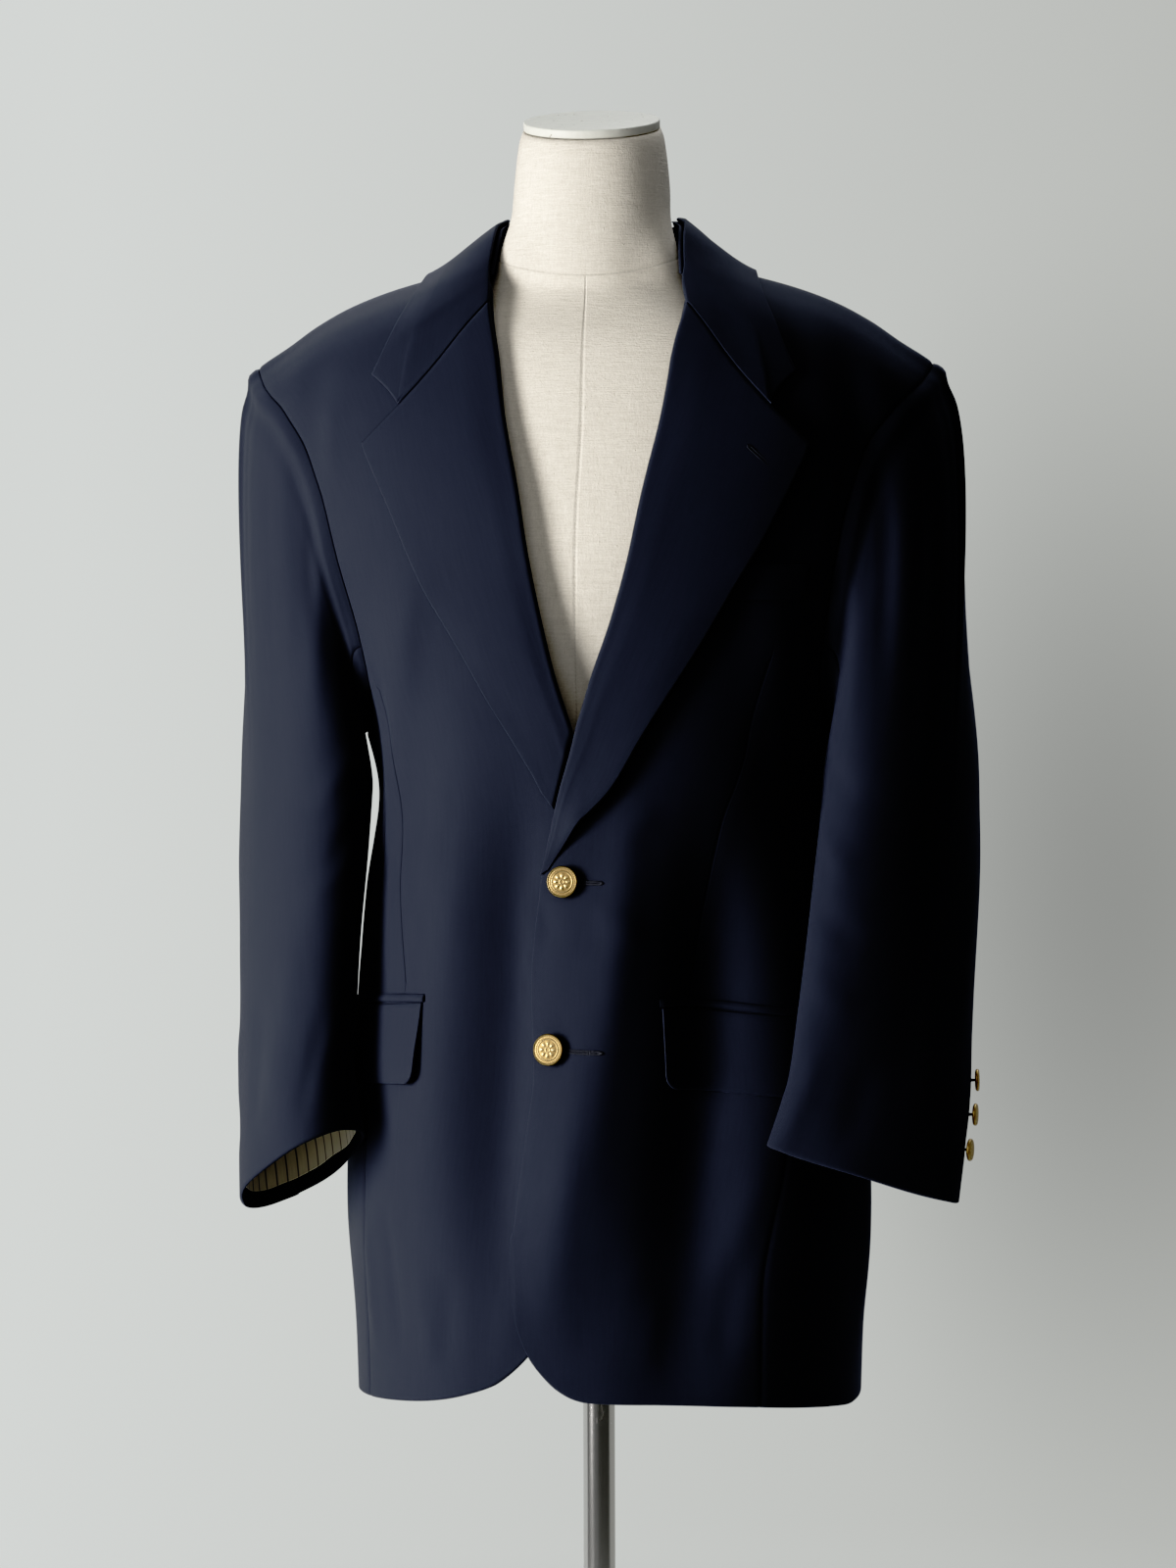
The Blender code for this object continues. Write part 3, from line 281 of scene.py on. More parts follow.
def over_shoulder(side, over, lift):
    """A point by its distance to the side, its distance over the shoulder (in front it is
    negative) and its lift, which points straight up beside the shoulder seam."""
    level = np.clip(over_to_level(over), 0, TOP_LEVEL)
    share = np.abs(side - ring("centre", level)) / ring("half_width", level)
    bend = np.degrees(np.arcsin(np.clip(share, 0, 1) ** (ring("exponent", level) / 2)))
    front = np.sign(side - ring("centre", level)) * bend
    turn = np.where(np.asarray(over) <= 0, front, 180 - front)
    point = body_point(turn, level)
    outward = body_normal(turn, level)
    near_seam = ease(1 - np.abs(over) / SEAM_TURN)[..., None]
    outward = unit(outward * (1 - near_seam) + np.array([0, 0, 1.0]) * near_seam)
    return point + outward * np.asarray(lift)[..., None]


print("body point at the upper button, mm:", np.round(body_point(-3.8, 1031.8), 1))

# %% [markdown]
# ## From a grid of points to sewn cloth
#
# A flat strip of polygons looks like paper. Real cloth has a thickness, a soft rolled rim where
# it is cut and turned, and a pressed line where it is seamed. So one helper makes every panel:
# it adds two lines of points close to each edge, sinks the ones at a seam, rolls the ones at a
# free edge, and closes the wall with a rounded rim. It also stores how far each point is from
# the edges, which the wool's material reads to draw the pressed seam and the worn edge.

# %% Distances across a grid
NEAR_EDGE = (0.7, 2.2)      # the added lines' distances from an edge
MOST_SHARES = (0.3, 0.65)   # and at most this much of the way to the next line
FAR = 40.0                  # a distance that means nowhere near


def close_lines(grid, axis):
    """The grid with lines added near both ends of an axis, at the distances of NEAR_EDGE."""
    grid = np.moveaxis(grid, axis, 0)
    parts = []
    for here, there, order in ((grid[0], grid[1], 1), (grid[-1], grid[-2], -1)):
        length = np.linalg.norm(there[..., :3] - here[..., :3], axis=-1)
        added = []
        for distance, most in zip(NEAR_EDGE, MOST_SHARES):
            share = np.minimum(distance / np.maximum(length, 1e-6), most)[..., None]
            added.append(here + (there - here) * share)
        parts.append(np.array(added[::order]))
    whole = np.concatenate([grid[:1], parts[0], grid[1:-1], parts[1], grid[-1:]])
    return np.moveaxis(whole, 0, axis)


def edge_distance(points, edge):
    """Each point's distance along the cloth from a named edge of its grid."""
    axis = 1 if edge in ("left", "right") else 0
    step = np.linalg.norm(np.diff(points, axis=axis), axis=-1)
    start = np.zeros_like(np.take(step, [0], axis=axis))
    if edge in ("right", "last"):
        back = np.cumsum(np.flip(step, axis), axis=axis)
        return np.flip(np.concatenate([start, back], axis=axis), axis)
    return np.concatenate([start, np.cumsum(step, axis=axis)], axis=axis)


def grid_normals(points, around=False):
    """Unit normals of a grid of points. around joins its last column to its first."""
    if around:
        wide = np.concatenate([points[:, -1:], points, points[:, :1]], axis=1)
        across = wide[:, 2:] - wide[:, :-2]
    else:
        across = np.gradient(points, axis=1)
    return unit(np.cross(across, np.gradient(points, axis=0)))


# %% Closed walls
RIM_BULGE = 0.45     # how far a rim rounds out past its edge
CORNER_PUSH = 0.7    # the share of both edges' bulges that a corner gets


def numbered(shape):
    """A grid of the numbers from 0, row by row."""
    return np.arange(shape[0] * shape[1]).reshape(shape)


def joined_round(grid):
    """A grid with its first column again at its end, so that it goes all the way round."""
    return np.concatenate([grid, grid[:, :1]], axis=1)


def quads(index):
    """The four corners of every cell of a grid of numbers."""
    corners = (index[:-1, :-1], index[:-1, 1:], index[1:, 1:], index[1:, :-1])
    return np.stack(corners, -1).reshape(-1, 4)


def wall(points, outward, thickness, around=False):
    """Points and corner numbers of a closed wall: the outer grid with a border of rim points
    half a thickness in and a little out, and an inner grid that shares that border."""
    centre = points - outward * thickness / 2
    sides = ((1, 1), (0, 0), (0, 0)) if around else ((1, 1), (1, 1), (0, 0))
    outer = np.pad(centre, sides, mode="edge")
    push = np.zeros_like(outer)
    body = slice(None) if around else slice(1, -1)
    push[0, body] += unit(points[0] - points[1])
    push[-1, body] += unit(points[-1] - points[-2])
    if not around:
        push[1:-1, 0] += unit(points[:, 0] - points[:, 1])
        push[1:-1, -1] += unit(points[:, -1] - points[:, -2])
        for r, near_r in ((0, 1), (-1, -2)):
            for c, near_c in ((0, 1), (-1, -2)):
                push[r, c] = (push[near_r, c] + push[r, near_c]) * CORNER_PUSH
    outer = outer + push * RIM_BULGE
    inside = (slice(1, -1), slice(None)) if around else (slice(1, -1), slice(1, -1))
    outer[inside] = points
    front = numbered(outer.shape[:2])
    back = front.copy()
    back[inside] = front.size + numbered(points.shape[:2])
    verts = np.concatenate([outer.reshape(-1, 3), (points - outward * thickness).reshape(-1, 3)])
    if around:
        front, back = joined_round(front), joined_round(back)
    faces = np.concatenate([quads(front), quads(back)[:, ::-1]])
    middle = len(faces) // 4
    a, b, c = verts[faces[middle, :3]]
    row, col = np.divmod(middle, front.shape[1] - 1)
    facing = outward[min(max(row - 1, 0), len(outward) - 1), min(col, outward.shape[1] - 1)]
    if np.dot(np.cross(b - a, c - b), facing) < 0:
        faces = faces[:, ::-1]
    return verts, faces, sides


def fill_mesh(name, verts, faces, finish, uv=None, marks=None):
    """A mesh object from arrays in millimetres, with a UV in metres and named marks."""
    mesh = bpy.data.meshes.new(name)
    mesh.from_pydata((np.asarray(verts) * MM).tolist(), [], [list(face) for face in faces])
    mesh.shade_smooth()
    if uv is not None:
        corner = np.empty(len(mesh.loops), np.int32)
        mesh.loops.foreach_get("vertex_index", corner)
        layer = mesh.uv_layers.new(name="cloth")
        layer.data.foreach_set("uv", (np.asarray(uv)[corner] * MM).astype(np.float32).ravel())
    for mark, values in (marks or {}).items():
        attribute = mesh.attributes.new(mark, "FLOAT", "POINT")
        attribute.data.foreach_set("value", np.asarray(values, np.float32))
    mesh.materials.append(finish)
    made = bpy.data.objects.new(name, mesh)
    bpy.context.scene.collection.objects.link(made)
    return made


# %% One sewn panel
SEAM_SINK, SEAM_WIDTH = 0.75, 1.7
ROLL_SHARE = 0.45    # the radius of a rolled edge, as a share of the cloth's thickness
made_pieces = []


def belongs(piece, node=None):
    """The piece rides on the one body, and may stand for a CAD node, which is then hidden."""
    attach(piece, "root")
    if node:
        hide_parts(node)
    made_pieces.append(piece.name)


def cloth_piece(name, points, outward, edges, finish, slot, held, rests_on,
                thickness=1.6, around=False, marks=None):
    """A panel of cloth. edges says of each edge whether it is a "seam", which sinks over
    SEAM_WIDTH, "free", which rolls in by a quarter circle, or "plain"."""
    marks = marks or {}
    uv = np.stack([edge_distance(points, "left"), edge_distance(points, "first")], -1)
    if not around:
        uv[..., 0] -= uv[:, uv.shape[1] // 2, 0][:, None]
    packed = np.concatenate([points, outward, uv] + [m[..., None] for m in marks.values()], -1)
    packed = close_lines(packed, 0)
    if not around:
        packed = close_lines(packed, 1)
    points, outward, uv = packed[..., :3], unit(packed[..., 3:6]), packed[..., 6:8]
    extra = {mark: packed[..., 8 + k] for k, mark in enumerate(marks)}
    seam, free = (np.full(points.shape[:2], FAR) for _ in range(2))
    roll = thickness * ROLL_SHARE
    for edge, kind in edges.items():
        away = edge_distance(points, edge)
        if kind == "seam":
            points = points - outward * (SEAM_SINK * bell(away, SEAM_WIDTH))[..., None]
            seam = np.minimum(seam, away)
        if kind == "free":
            sink = roll - np.sqrt(np.maximum(roll**2 - np.maximum(roll - away, 0) ** 2, 0))
            points = points - outward * sink[..., None]
            free = np.minimum(free, away)
    verts, faces, sides = wall(points, outward, thickness, around)
    layers = {"seam": seam, "edge": free, **extra}
    both = {}
    for mark, values in layers.items():
        padded = np.pad(values, sides[:2], mode="edge")
        both[mark] = np.concatenate([padded.ravel(), values.ravel()])
    padded = np.pad(uv, sides, mode="edge")
    uv_all = np.concatenate([padded.reshape(-1, 2), uv.reshape(-1, 2)])
    piece = fill_mesh(name + "_cloth", verts, faces, finish, uv_all, both)
    belongs(piece, name)
    declare_sheet(piece, points, around)


def declare_sheet(piece, points, around=False):
    """Prints a panel's size as the flat piece it was cut from: its widest row, its
    longest column, and its area."""
    ring_points = joined_round(points) if around else points
    width = float(edge_distance(ring_points, "left")[:, -1].max()) * MM
    length = float(edge_distance(points, "first")[-1].max()) * MM
    a, b = np.diff(ring_points, axis=1)[:-1], np.diff(ring_points, axis=0)[:, :-1]
    area = float(np.linalg.norm(np.cross(a, b), axis=-1).sum()) * MM**2
    flat = (round(width, 4), round(length, 4))
    area = min(round(area, 6), flat[0] * flat[1])
    print("%-20s cut %.3f x %.3f m, %.4f m2" % (piece.name, *flat, area))


# %% [markdown]
# ## The finishes
#
# The materials are node trees, written here as arithmetic. Wire wraps an output socket and turns
# +, -, * and / into Math nodes, so a formula reads as a formula. Every other node comes from
# one method, Look.node, which takes the node's type, its settings and what its sockets get.

# %% A small shader language
class Wire:
    """One output socket of a finish's tree. Arithmetic on it adds Math nodes."""

    def __init__(self, look, socket):
        self.look, self.socket = look, socket

    def math(self, operation, first, second=0.0):
        return self.look.node("ShaderNodeMath", {"operation": operation}, {0: first, 1: second})

    def __add__(self, other):
        return self.math("ADD", self, other)

    def __sub__(self, other):
        return self.math("SUBTRACT", self, other)

    def __rsub__(self, other):
        return self.math("SUBTRACT", other, self)

    def __mul__(self, other):
        return self.math("MULTIPLY", self, other)

    def __truediv__(self, other):
        return self.math("DIVIDE", self, other)

    def __pow__(self, other):
        return self.math("POWER", self, other)

    def __abs__(self):
        return self.math("ABSOLUTE", self)

    __radd__ = __add__
    __rmul__ = __mul__

    def sine(self):
        return self.math("SINE", self)

    def least(self, other):
        return self.math("MINIMUM", self, other)

    def most(self, other):
        return self.math("MAXIMUM", self, other)

    def between(self, low, high):
        """0 below low and 1 above high, eased. With low above high it falls instead."""
        start, end = (0.0, 1.0) if low < high else (1.0, 0.0)
        return self.look.node("ShaderNodeMapRange", {"interpolation_type": "SMOOTHSTEP"},
                              {0: self, 1: min(low, high), 2: max(low, high), 3: start, 4: end})


class Look:
    """A finish: one Principled shader and the nodes that feed it."""

    def __init__(self, name, **constants):
        self.material = bpy.data.materials.new(name)
        self.material.use_nodes = True
        self.tree = self.material.node_tree
        self.shader = self.tree.nodes["Principled BSDF"]
        for socket, value in constants.items():
            self.shader.inputs[socket.replace("_", " ")].default_value = value

    def node(self, kind, settings=None, values=None, out=0):
        """A node of a type, its settings set first and then its sockets' values or links."""
        made = self.tree.nodes.new(kind)
        for setting, value in (settings or {}).items():
            if setting == "stops":
                for number, (place, colour) in enumerate(value):
                    stop = made.color_ramp.elements[number] if number < 2 else (
                        made.color_ramp.elements.new(place))
                    stop.position, stop.color = place, (*colour, 1)
            else:
                setattr(made, setting, value)
        for socket, value in (values or {}).items():
            if isinstance(value, Wire):
                self.tree.links.new(value.socket, made.inputs[socket])
            else:
                made.inputs[socket].default_value = value
        return Wire(self, made.outputs[out])

    def feed(self, **wires):
        for socket, wire in wires.items():
            self.tree.links.new(wire.socket, self.shader.inputs[socket.replace("_", " ")])
        return self.material

    def place(self):
        return self.node("ShaderNodeTexCoord", out="Object")

    def cloth_place(self):
        return self.node("ShaderNodeUVMap", {"uv_map": "cloth"})

    def mark(self, name):
        return self.node("ShaderNodeAttribute", {"attribute_name": name}, out="Fac")

    def parts(self, vector):
        split = self.node("ShaderNodeSeparateXYZ", values={0: vector})
        return [Wire(self, socket) for socket in split.socket.node.outputs]

    def stretched(self, vector, scale):
        return self.node("ShaderNodeVectorMath", {"operation": "MULTIPLY"}, {0: vector, 1: scale})

    def noise(self, vector, scale, detail=2.0, rough=0.5):
        return self.node("ShaderNodeTexNoise", values={
            "Vector": vector, "Scale": scale, "Detail": detail, "Roughness": rough})

    def mix(self, share, first, second):
        """From the first colour to the second by a share from 0 to 1."""
        def colour(value):
            return value if isinstance(value, Wire) else (*value, 1)
        return self.node("ShaderNodeMix", {"data_type": "RGBA"},
                         {0: share, 6: colour(first), 7: colour(second)}, out=2)

    def shade(self, colour, amount):
        """A colour made lighter or darker by an amount near 1."""
        return self.node("ShaderNodeVectorMath", {"operation": "SCALE"},
                         {0: colour, "Scale": amount})

    def bump(self, height, strength=1.0):
        """A Bump node from a height in metres."""
        return self.node("ShaderNodeBump", values={
            "Height": height, "Strength": strength, "Distance": 1.0})


# %% [markdown]
# ### Navy wool
#
# The cloth is a fine worsted twill: steep diagonal ribs under a millimetre apart, a little
# unevenness from yarn to yarn, and a faint bloom of fibre ends that catches light at a glancing
# angle, which is the shader's sheen. The seam mark darkens the colour in the pressed valley along
# a seam, which is painted shade, and the edge mark lightens the last millimetre of a turned edge,
# partly for the wear and pressing that polish it and partly as a painted highlight.

# %% Navy wool
RIB_PITCH = 0.00085      # metres from one twill rib to the next
# The second colour is for the last millimetre of the free edges: partly wear, partly a painted
# highlight.
NAVY, NAVY_WORN_AND_HIGHLIT = (0.0236, 0.0262, 0.0352), (0.029, 0.032, 0.042)


def navy_wool(name="navy_wool", stitched=False):
    """Twill ribs are a sine of u + 1.8 v over the pitch, roughened by fibre noise. stitched adds
    a dart's seam, a shallow valley whose middle line is darkened by painted shade."""
    look = Look(name, Roughness=0.85, Sheen_Weight=0.10, Sheen_Roughness=0.45,
                Sheen_Tint=(0.62, 0.68, 0.9, 1), Specular_IOR_Level=0.16)
    cloth = look.cloth_place()
    u, v = look.parts(cloth)[:2]
    rib = ((u + v * 1.8) * (2 * math.pi / RIB_PITCH)).sine()
    fibre = look.noise(look.stretched(cloth, (1.0, 0.45, 1.0)), 1500, 2.0, 0.6)
    yarn = look.noise(look.stretched(cloth, (26.0, 1.6, 1.0)), 22, 2.0, 0.6)
    cloud = look.noise(look.place(), 7, 2.0, 0.5)
    tone = 0.80 + fibre * 0.16 + yarn * 0.16 + cloud * 0.10 + rib * 0.035
    edge, seam = look.mark("edge"), look.mark("seam")
    # Near a free edge the colour is lightened: partly wear and pressing, partly a painted
    # highlight.
    worn = edge.between(1.3, 0.3) * (0.1 + yarn * 0.3)
    # Painted shade: the colour is darkened in the pressed valley along a seam.
    painted_seam_shade = seam.between(0.9, 0.1)
    tone = tone * (1 - painted_seam_shade * 0.45)
    height = rib * 0.000035 + fibre * 0.00009 + yarn * 0.00006
    if stitched:
        dart = abs(look.mark("dart"))
        # Painted shade: the colour is darkened along the dart's seam, in its valley.
        tone = tone * (1 - dart.between(0.9, 0.15) * 0.55)
        height = height - dart.between(2.4, 0.0) * 0.0006
    colour = look.shade(look.mix(worn, NAVY, NAVY_WORN_AND_HIGHLIT), tone)
    return look.feed(Base_Color=colour, Normal=look.bump(height, 0.55))


WOOL = navy_wool()
WOOL_WITH_DART = navy_wool("navy_wool_with_dart", stitched=True)
print("wool finishes:", WOOL.name, WOOL_WITH_DART.name)


def wool_piece(name, points, outward, edges, held, rests_on, finish=WOOL, **more):
    """A panel of the blazer's own wool."""
    cloth_piece(name, points, outward, edges, finish, "navy_wool", held, rests_on, **more)

# %% [markdown]
# ### Lining, thread, linen and paint
#
# The sleeve lining is a cream satin with thin dark stripes that run down the arm, so it reads its
# own UV, whose u goes round the sleeve. The form is covered in undyed linen: thick and thin
# threads cross each other, so two stretched noises, one along and one across, give the slubs.
# The cap on the neck is painted wood fibre, smooth and a little greyer, with small chips.

# %% Striped satin and navy thread
STRIPE_PITCH, STRIPE_WIDTH, STRIPE_BLUR = 0.0085, 0.0011, 0.0003
THREAD_PITCH = 0.0008


def striped_satin():
    """A stripe is where the distance from the nearest multiple of the pitch is small."""
    look = Look("striped_satin", Roughness=0.38, Sheen_Weight=0.1)
    cloth = look.cloth_place()
    u = look.parts(cloth)[0]
    beat = u.math("PINGPONG", u, STRIPE_PITCH / 2)
    stripe = beat.between(STRIPE_WIDTH / 2 + STRIPE_BLUR, STRIPE_WIDTH / 2 - STRIPE_BLUR)
    slub = look.noise(look.stretched(cloth, (8.0, 1.0, 1.0)), 90)
    colour = look.mix(stripe * 0.8, (0.66, 0.61, 0.50), (0.10, 0.095, 0.10))
    height = look.noise(look.stretched(cloth, (30.0, 2.0, 1.0)), 60) * 0.0001
    return look.feed(Base_Color=look.shade(colour, 0.9 + slub * 0.2), Normal=look.bump(height))


def navy_thread():
    """Tight turns of thread: a sine along u, which runs along a row of stitches."""
    look = Look("navy_thread", Roughness=0.6, Sheen_Weight=0.1)
    u = look.parts(look.cloth_place())[0]
    turn = (u * (2 * math.pi / THREAD_PITCH)).sine()
    colour = look.shade(look.mix(0.5, (0.010, 0.012, 0.020), (0.012, 0.014, 0.022)),
                        0.8 + turn * 0.35)
    return look.feed(Base_Color=colour, Normal=look.bump(turn * 0.00012))


SATIN, THREAD = striped_satin(), navy_thread()

# %% Slubby linen and cap paint
LINEN_SHADE, LINEN_SLUB = (0.765, 0.72, 0.64), (0.68, 0.625, 0.535)
LINEN_SHADOW_FROM_TO, LINEN_SHADOW_DEPTH = (1.27, 1.13), 0.3     # heights in metres, and how much darker the painted shadow makes it
STITCH_PITCH = 0.0028


def slubby_linen():
    """Weft slubs are noise squeezed along z, warp slubs are noise squeezed across it, and neps are
    the highest peaks of a fine noise. Low in the opening, where the lapels' shadow falls, the
    linen's colour is darkened: a painted shadow. Along the seams it is darkened too, a painted
    shade in the seam's valley, stronger along the stitches."""
    look = Look("slubby_linen", Roughness=0.88, Sheen_Weight=0.08, Specular_IOR_Level=0.2)
    place = look.place()
    weft = look.noise(look.stretched(place, (1.0, 1.0, 13.0)), 75, 3.0, 0.7)
    warp = look.noise(look.stretched(place, (11.0, 11.0, 1.0)), 75, 3.0, 0.7)
    grain = look.noise(place, 850, 3.0, 0.7)
    nep = look.noise(place, 330, 1.0, 0.4).between(0.74, 0.80)
    cloud = look.noise(place, 9, 3.0, 0.6)
    seam = abs(look.mark("upright_seam")).least(abs(look.mark("neck_seam")))
    valley = seam.between(0.75, 0.1)
    x, _, z = look.parts(place)
    along = z + x * 0.9
    stitch = along.math("PINGPONG", along, STITCH_PITCH / 2) / (STITCH_PITCH / 2)
    tone = (0.96 + (weft - 0.5) * 0.26 + (warp - 0.5) * 0.13 + (grain - 0.5) * 0.26
            + (cloud - 0.5) * 0.12 + nep * 0.05)
    # Painted shade: the colour is darkened in each seam's valley, more along the stitches.
    tone = tone * (1 - valley * 0.22 * (0.5 + stitch.between(0.2, 0.6) * 0.5))
    # Painted shadow: the colour is darkened low in the opening, where the lapels' shadow falls.
    tone = tone * (1 - z.between(*LINEN_SHADOW_FROM_TO) * LINEN_SHADOW_DEPTH)
    share = (weft + warp + grain - 0.95).most(0.0).least(1.0)
    colour = look.shade(look.mix(share, LINEN_SLUB, LINEN_SHADE), tone)
    height = weft * 0.0006 + warp * 0.0003 + grain * 0.00045 + nep * 0.0004
    return look.feed(Base_Color=colour,
                     Normal=look.bump(height - seam.between(1.6, 0.0) * 0.0005, 0.75))


def cap_paint():
    """Flat paint with faint clouds, and chips where a fine noise peaks close to the rim."""
    look = Look("cap_paint", Roughness=0.5, Specular_IOR_Level=0.35)
    place = look.place()
    cloud = look.noise(place, 30, 3.0, 0.6)
    chip = look.noise(place, 260, 2.0, 0.5).between(0.69, 0.73) * look.mark("rim")
    mottle = look.noise(place, 170, 3.0, 0.65)
    colour = look.mix(chip, (0.62, 0.62, 0.565), (0.24, 0.21, 0.165))
    tone = 0.80 + cloud * 0.16 + mottle * 0.22 * (0.35 + look.mark("rim") * 0.65)
    height = cloud * 0.0002 + mottle * 0.0003 + look.noise(place, 900) * 0.00005 - chip * 0.0004
    return look.feed(Base_Color=look.shade(colour, tone), Normal=look.bump(height),
                     Roughness=0.42 + cloud * 0.2)


LINEN, CAP_PAINT = slubby_linen(), cap_paint()

# %% [markdown]
# ### Metals
#
# The buttons are pale brass, polished where a thumb reaches and dull in the hollows of the
# relief, so the piece stores its relief as a mark. The pole is chromed tube with small scuffs,
# and the base is plain brushed steel, turned on a lathe, so its fine lines are rings.

# %% Brass, chrome and steel
def pale_brass():
    """Dull in the hollows and pale where the relief mark is high, with fine specks."""
    look = Look("pale_brass", Metallic=1.0)
    place = look.place()
    relief = look.mark("relief")
    worn = relief.between(0.15, 0.75)
    speck = look.noise(place, 900, 2.0, 0.6)
    colour = look.mix(worn, (0.20, 0.135, 0.055), (0.36, 0.27, 0.132))
    return look.feed(Base_Color=look.shade(colour, 0.85 + speck * 0.3),
                     Roughness=0.46 - worn * 0.18 + speck * 0.1,
                     Normal=look.bump(speck * 0.00004))


def scuffed_chrome():
    """Scuffs are the peaks of a noise, and fine lines run up the tube."""
    look = Look("scuffed_chrome", Metallic=1.0)
    place = look.place()
    scuff = look.noise(look.stretched(place, (1.0, 1.0, 0.35)), 55, 4.0, 0.7).between(0.60, 0.70)
    line = look.noise(look.stretched(place, (1.0, 1.0, 0.01)), 900, 1.0, 0.5)
    colour = look.mix(scuff * 0.75, (0.56, 0.55, 0.54), (0.12, 0.11, 0.10))
    return look.feed(Base_Color=colour, Roughness=0.14 + scuff * 0.35 + line * 0.08,
                     Normal=look.bump(line * 0.00003 - scuff * 0.00005))


def brushed_steel():
    """Rings about the axis: a noise read along the distance from it."""
    look = Look("brushed_steel", Metallic=1.0)
    x, y, z = look.parts(look.place())
    radius = (x * x + y * y) ** 0.5
    along = look.node("ShaderNodeCombineXYZ", values={0: radius, 1: z, 2: 0.0})
    lines = look.noise(along, 1600, 2.0, 0.6)
    cloud = look.noise(look.place(), 12, 3.0, 0.6)
    colour = look.shade(look.mix(cloud, (0.42, 0.42, 0.43), (0.52, 0.52, 0.53)), 0.9 + lines * 0.2)
    return look.feed(Base_Color=colour, Roughness=0.3 + lines * 0.12 + cloud * 0.12,
                     Normal=look.bump(lines * 0.00004))


BRASS, CHROME, STEEL = pale_brass(), scuffed_chrome(), brushed_steel()
print("metals:", BRASS.name, CHROME.name, STEEL.name)

# %% [markdown]
# ## The body's panels
#
# A blazer's body is cut in six: two fronts, two side bodies and two backs. Each panel's grid
# runs from seam to seam across and from hem to shoulder up. The left front laps over the right
# one, so the right is tucked a few millimetres inside the body's surface near its edge.

# %% The pattern's lines
UNDERARM_LEVEL = 1160.0
HEM_ZONE, LOWEST = 800.0, 680.0
EDGE_COLUMNS = ("level", "left", "right")
FRONT_EDGE = (
    (766, -14.8, -4.0), (815, -13.5, -2.0), (857, -11.8, 0.0), (900, -10.2, 2.0),
    (960, -11.2, 3.0), (1034, -8.8, 3.0), (1081, -5.2, 1.5), (1118, -2.2, -2.2),
    (1165, 1.3, -4.5), (1200, 4.5, -6.2), (1257, 8.2, -8.2), (1317, 10.3, -9.5),
    (1353, 11.2, -10.1), (1388, 11.2, -10.2), (1443, 12.2, -11.0), (1475, 13.5, -13.5),
)
HEM_LEFT = (
    (-14.8, 766), (-14.2, 748), (-13.0, 727), (-11.0, 710), (-8.2, 697), (-5.2, 687),
    (-2.2, 681), (0, 679), (12, 677), (31, 673.5), (49, 667), (62, 661.5), (76, 656),
    (101, 654), (180, 662),
)
HEM_RIGHT = (
    (4.0, 766), (5.0, 742), (7.0, 725), (11.0, 710), (13.5, 701.5), (16.2, 694),
    (19, 688), (24, 682), (31, 676), (38, 672), (48, 668), (63, 663), (90, 657),
    (125, 658), (180, 662),
)
SEAM_COLUMNS = ("level", "front_left", "front_right", "back_left", "back_right", "centre_back")
BODY_SEAMS = (
    (630, 36.2, -63, 104, -122, 174), (750, 36.2, -62, 105, -121, 174.5),
    (840, 42.5, -61, 107, -120, 176), (890, 46, -60, 109, -119.5, 177),
    (950, 51, -61, 111, -119, 178.5), (1060, 58, -62, 115, -118, 179.7),
    (1160, 62, -62, 118, -118, 180), (1480, 62, -62, 118, -118, 180),
)
ARMHOLE_COLUMNS = ("level", "front", "back")
ARMHOLE = (
    (1160, 62, 118), (1178, 58.5, 121.5), (1205, 56, 124), (1250, 54.5, 126),
    (1300, 54.5, 126), (1350, 56.8, 124), (1400, 61.5, 119), (1435, 68, 113),
    (1462, 74.5, 105.5), (1475, 80, 100),
)
UNDERARM = ((62, 1160), (72, 1139), (81, 1129), (90, 1126), (99, 1129), (108, 1139), (118, 1160))
BACK_NECK_LEVEL, NECK_POINT_TURN = 1459.0, 13.5
NECK_CURVE_START = 1435.0         # from this level up the backs' rows bend down to the neck
TUCK_DEPTH = 4.0                  # how far the right front lies inside the left one
TUCK_TURN, TUCK_REACH = -32, 18   # from where, and over how many degrees, it comes in
TUCK_LEVEL, TUCK_FADE = 1190, 60  # below which level, and over how many millimetres


# %% Reading the pattern
def side_sign(side):
    return 1 if side == "left" else -1


def hem_level(side, turn):
    """The hem's level. The right side's table is kept by its distance from centre front."""
    return smooth(HEM_LEFT, turn) if side == "left" else smooth(HEM_RIGHT, -np.asarray(turn))


def body_seam(name, level):
    return column(BODY_SEAMS, SEAM_COLUMNS, name, level)


def armhole_turn(side, face, level):
    return side_sign(side) * column(ARMHOLE, ARMHOLE_COLUMNS, face, level)


def underarm_turns(shares):
    """Turns at shares of the way along the underarm curve, without the side's sign."""
    return UNDERARM[0][0] + (UNDERARM[-1][0] - UNDERARM[0][0]) * shares


def tucked(side, turn, level):
    """How far the right front lies inside the body, because the left one laps over it."""
    if side == "left":
        return np.zeros(np.broadcast(turn, level).shape)
    near = ease((np.asarray(turn) - TUCK_TURN) / TUCK_REACH)
    return -TUCK_DEPTH * near * ease((TUCK_LEVEL - np.asarray(level)) / TUCK_FADE)


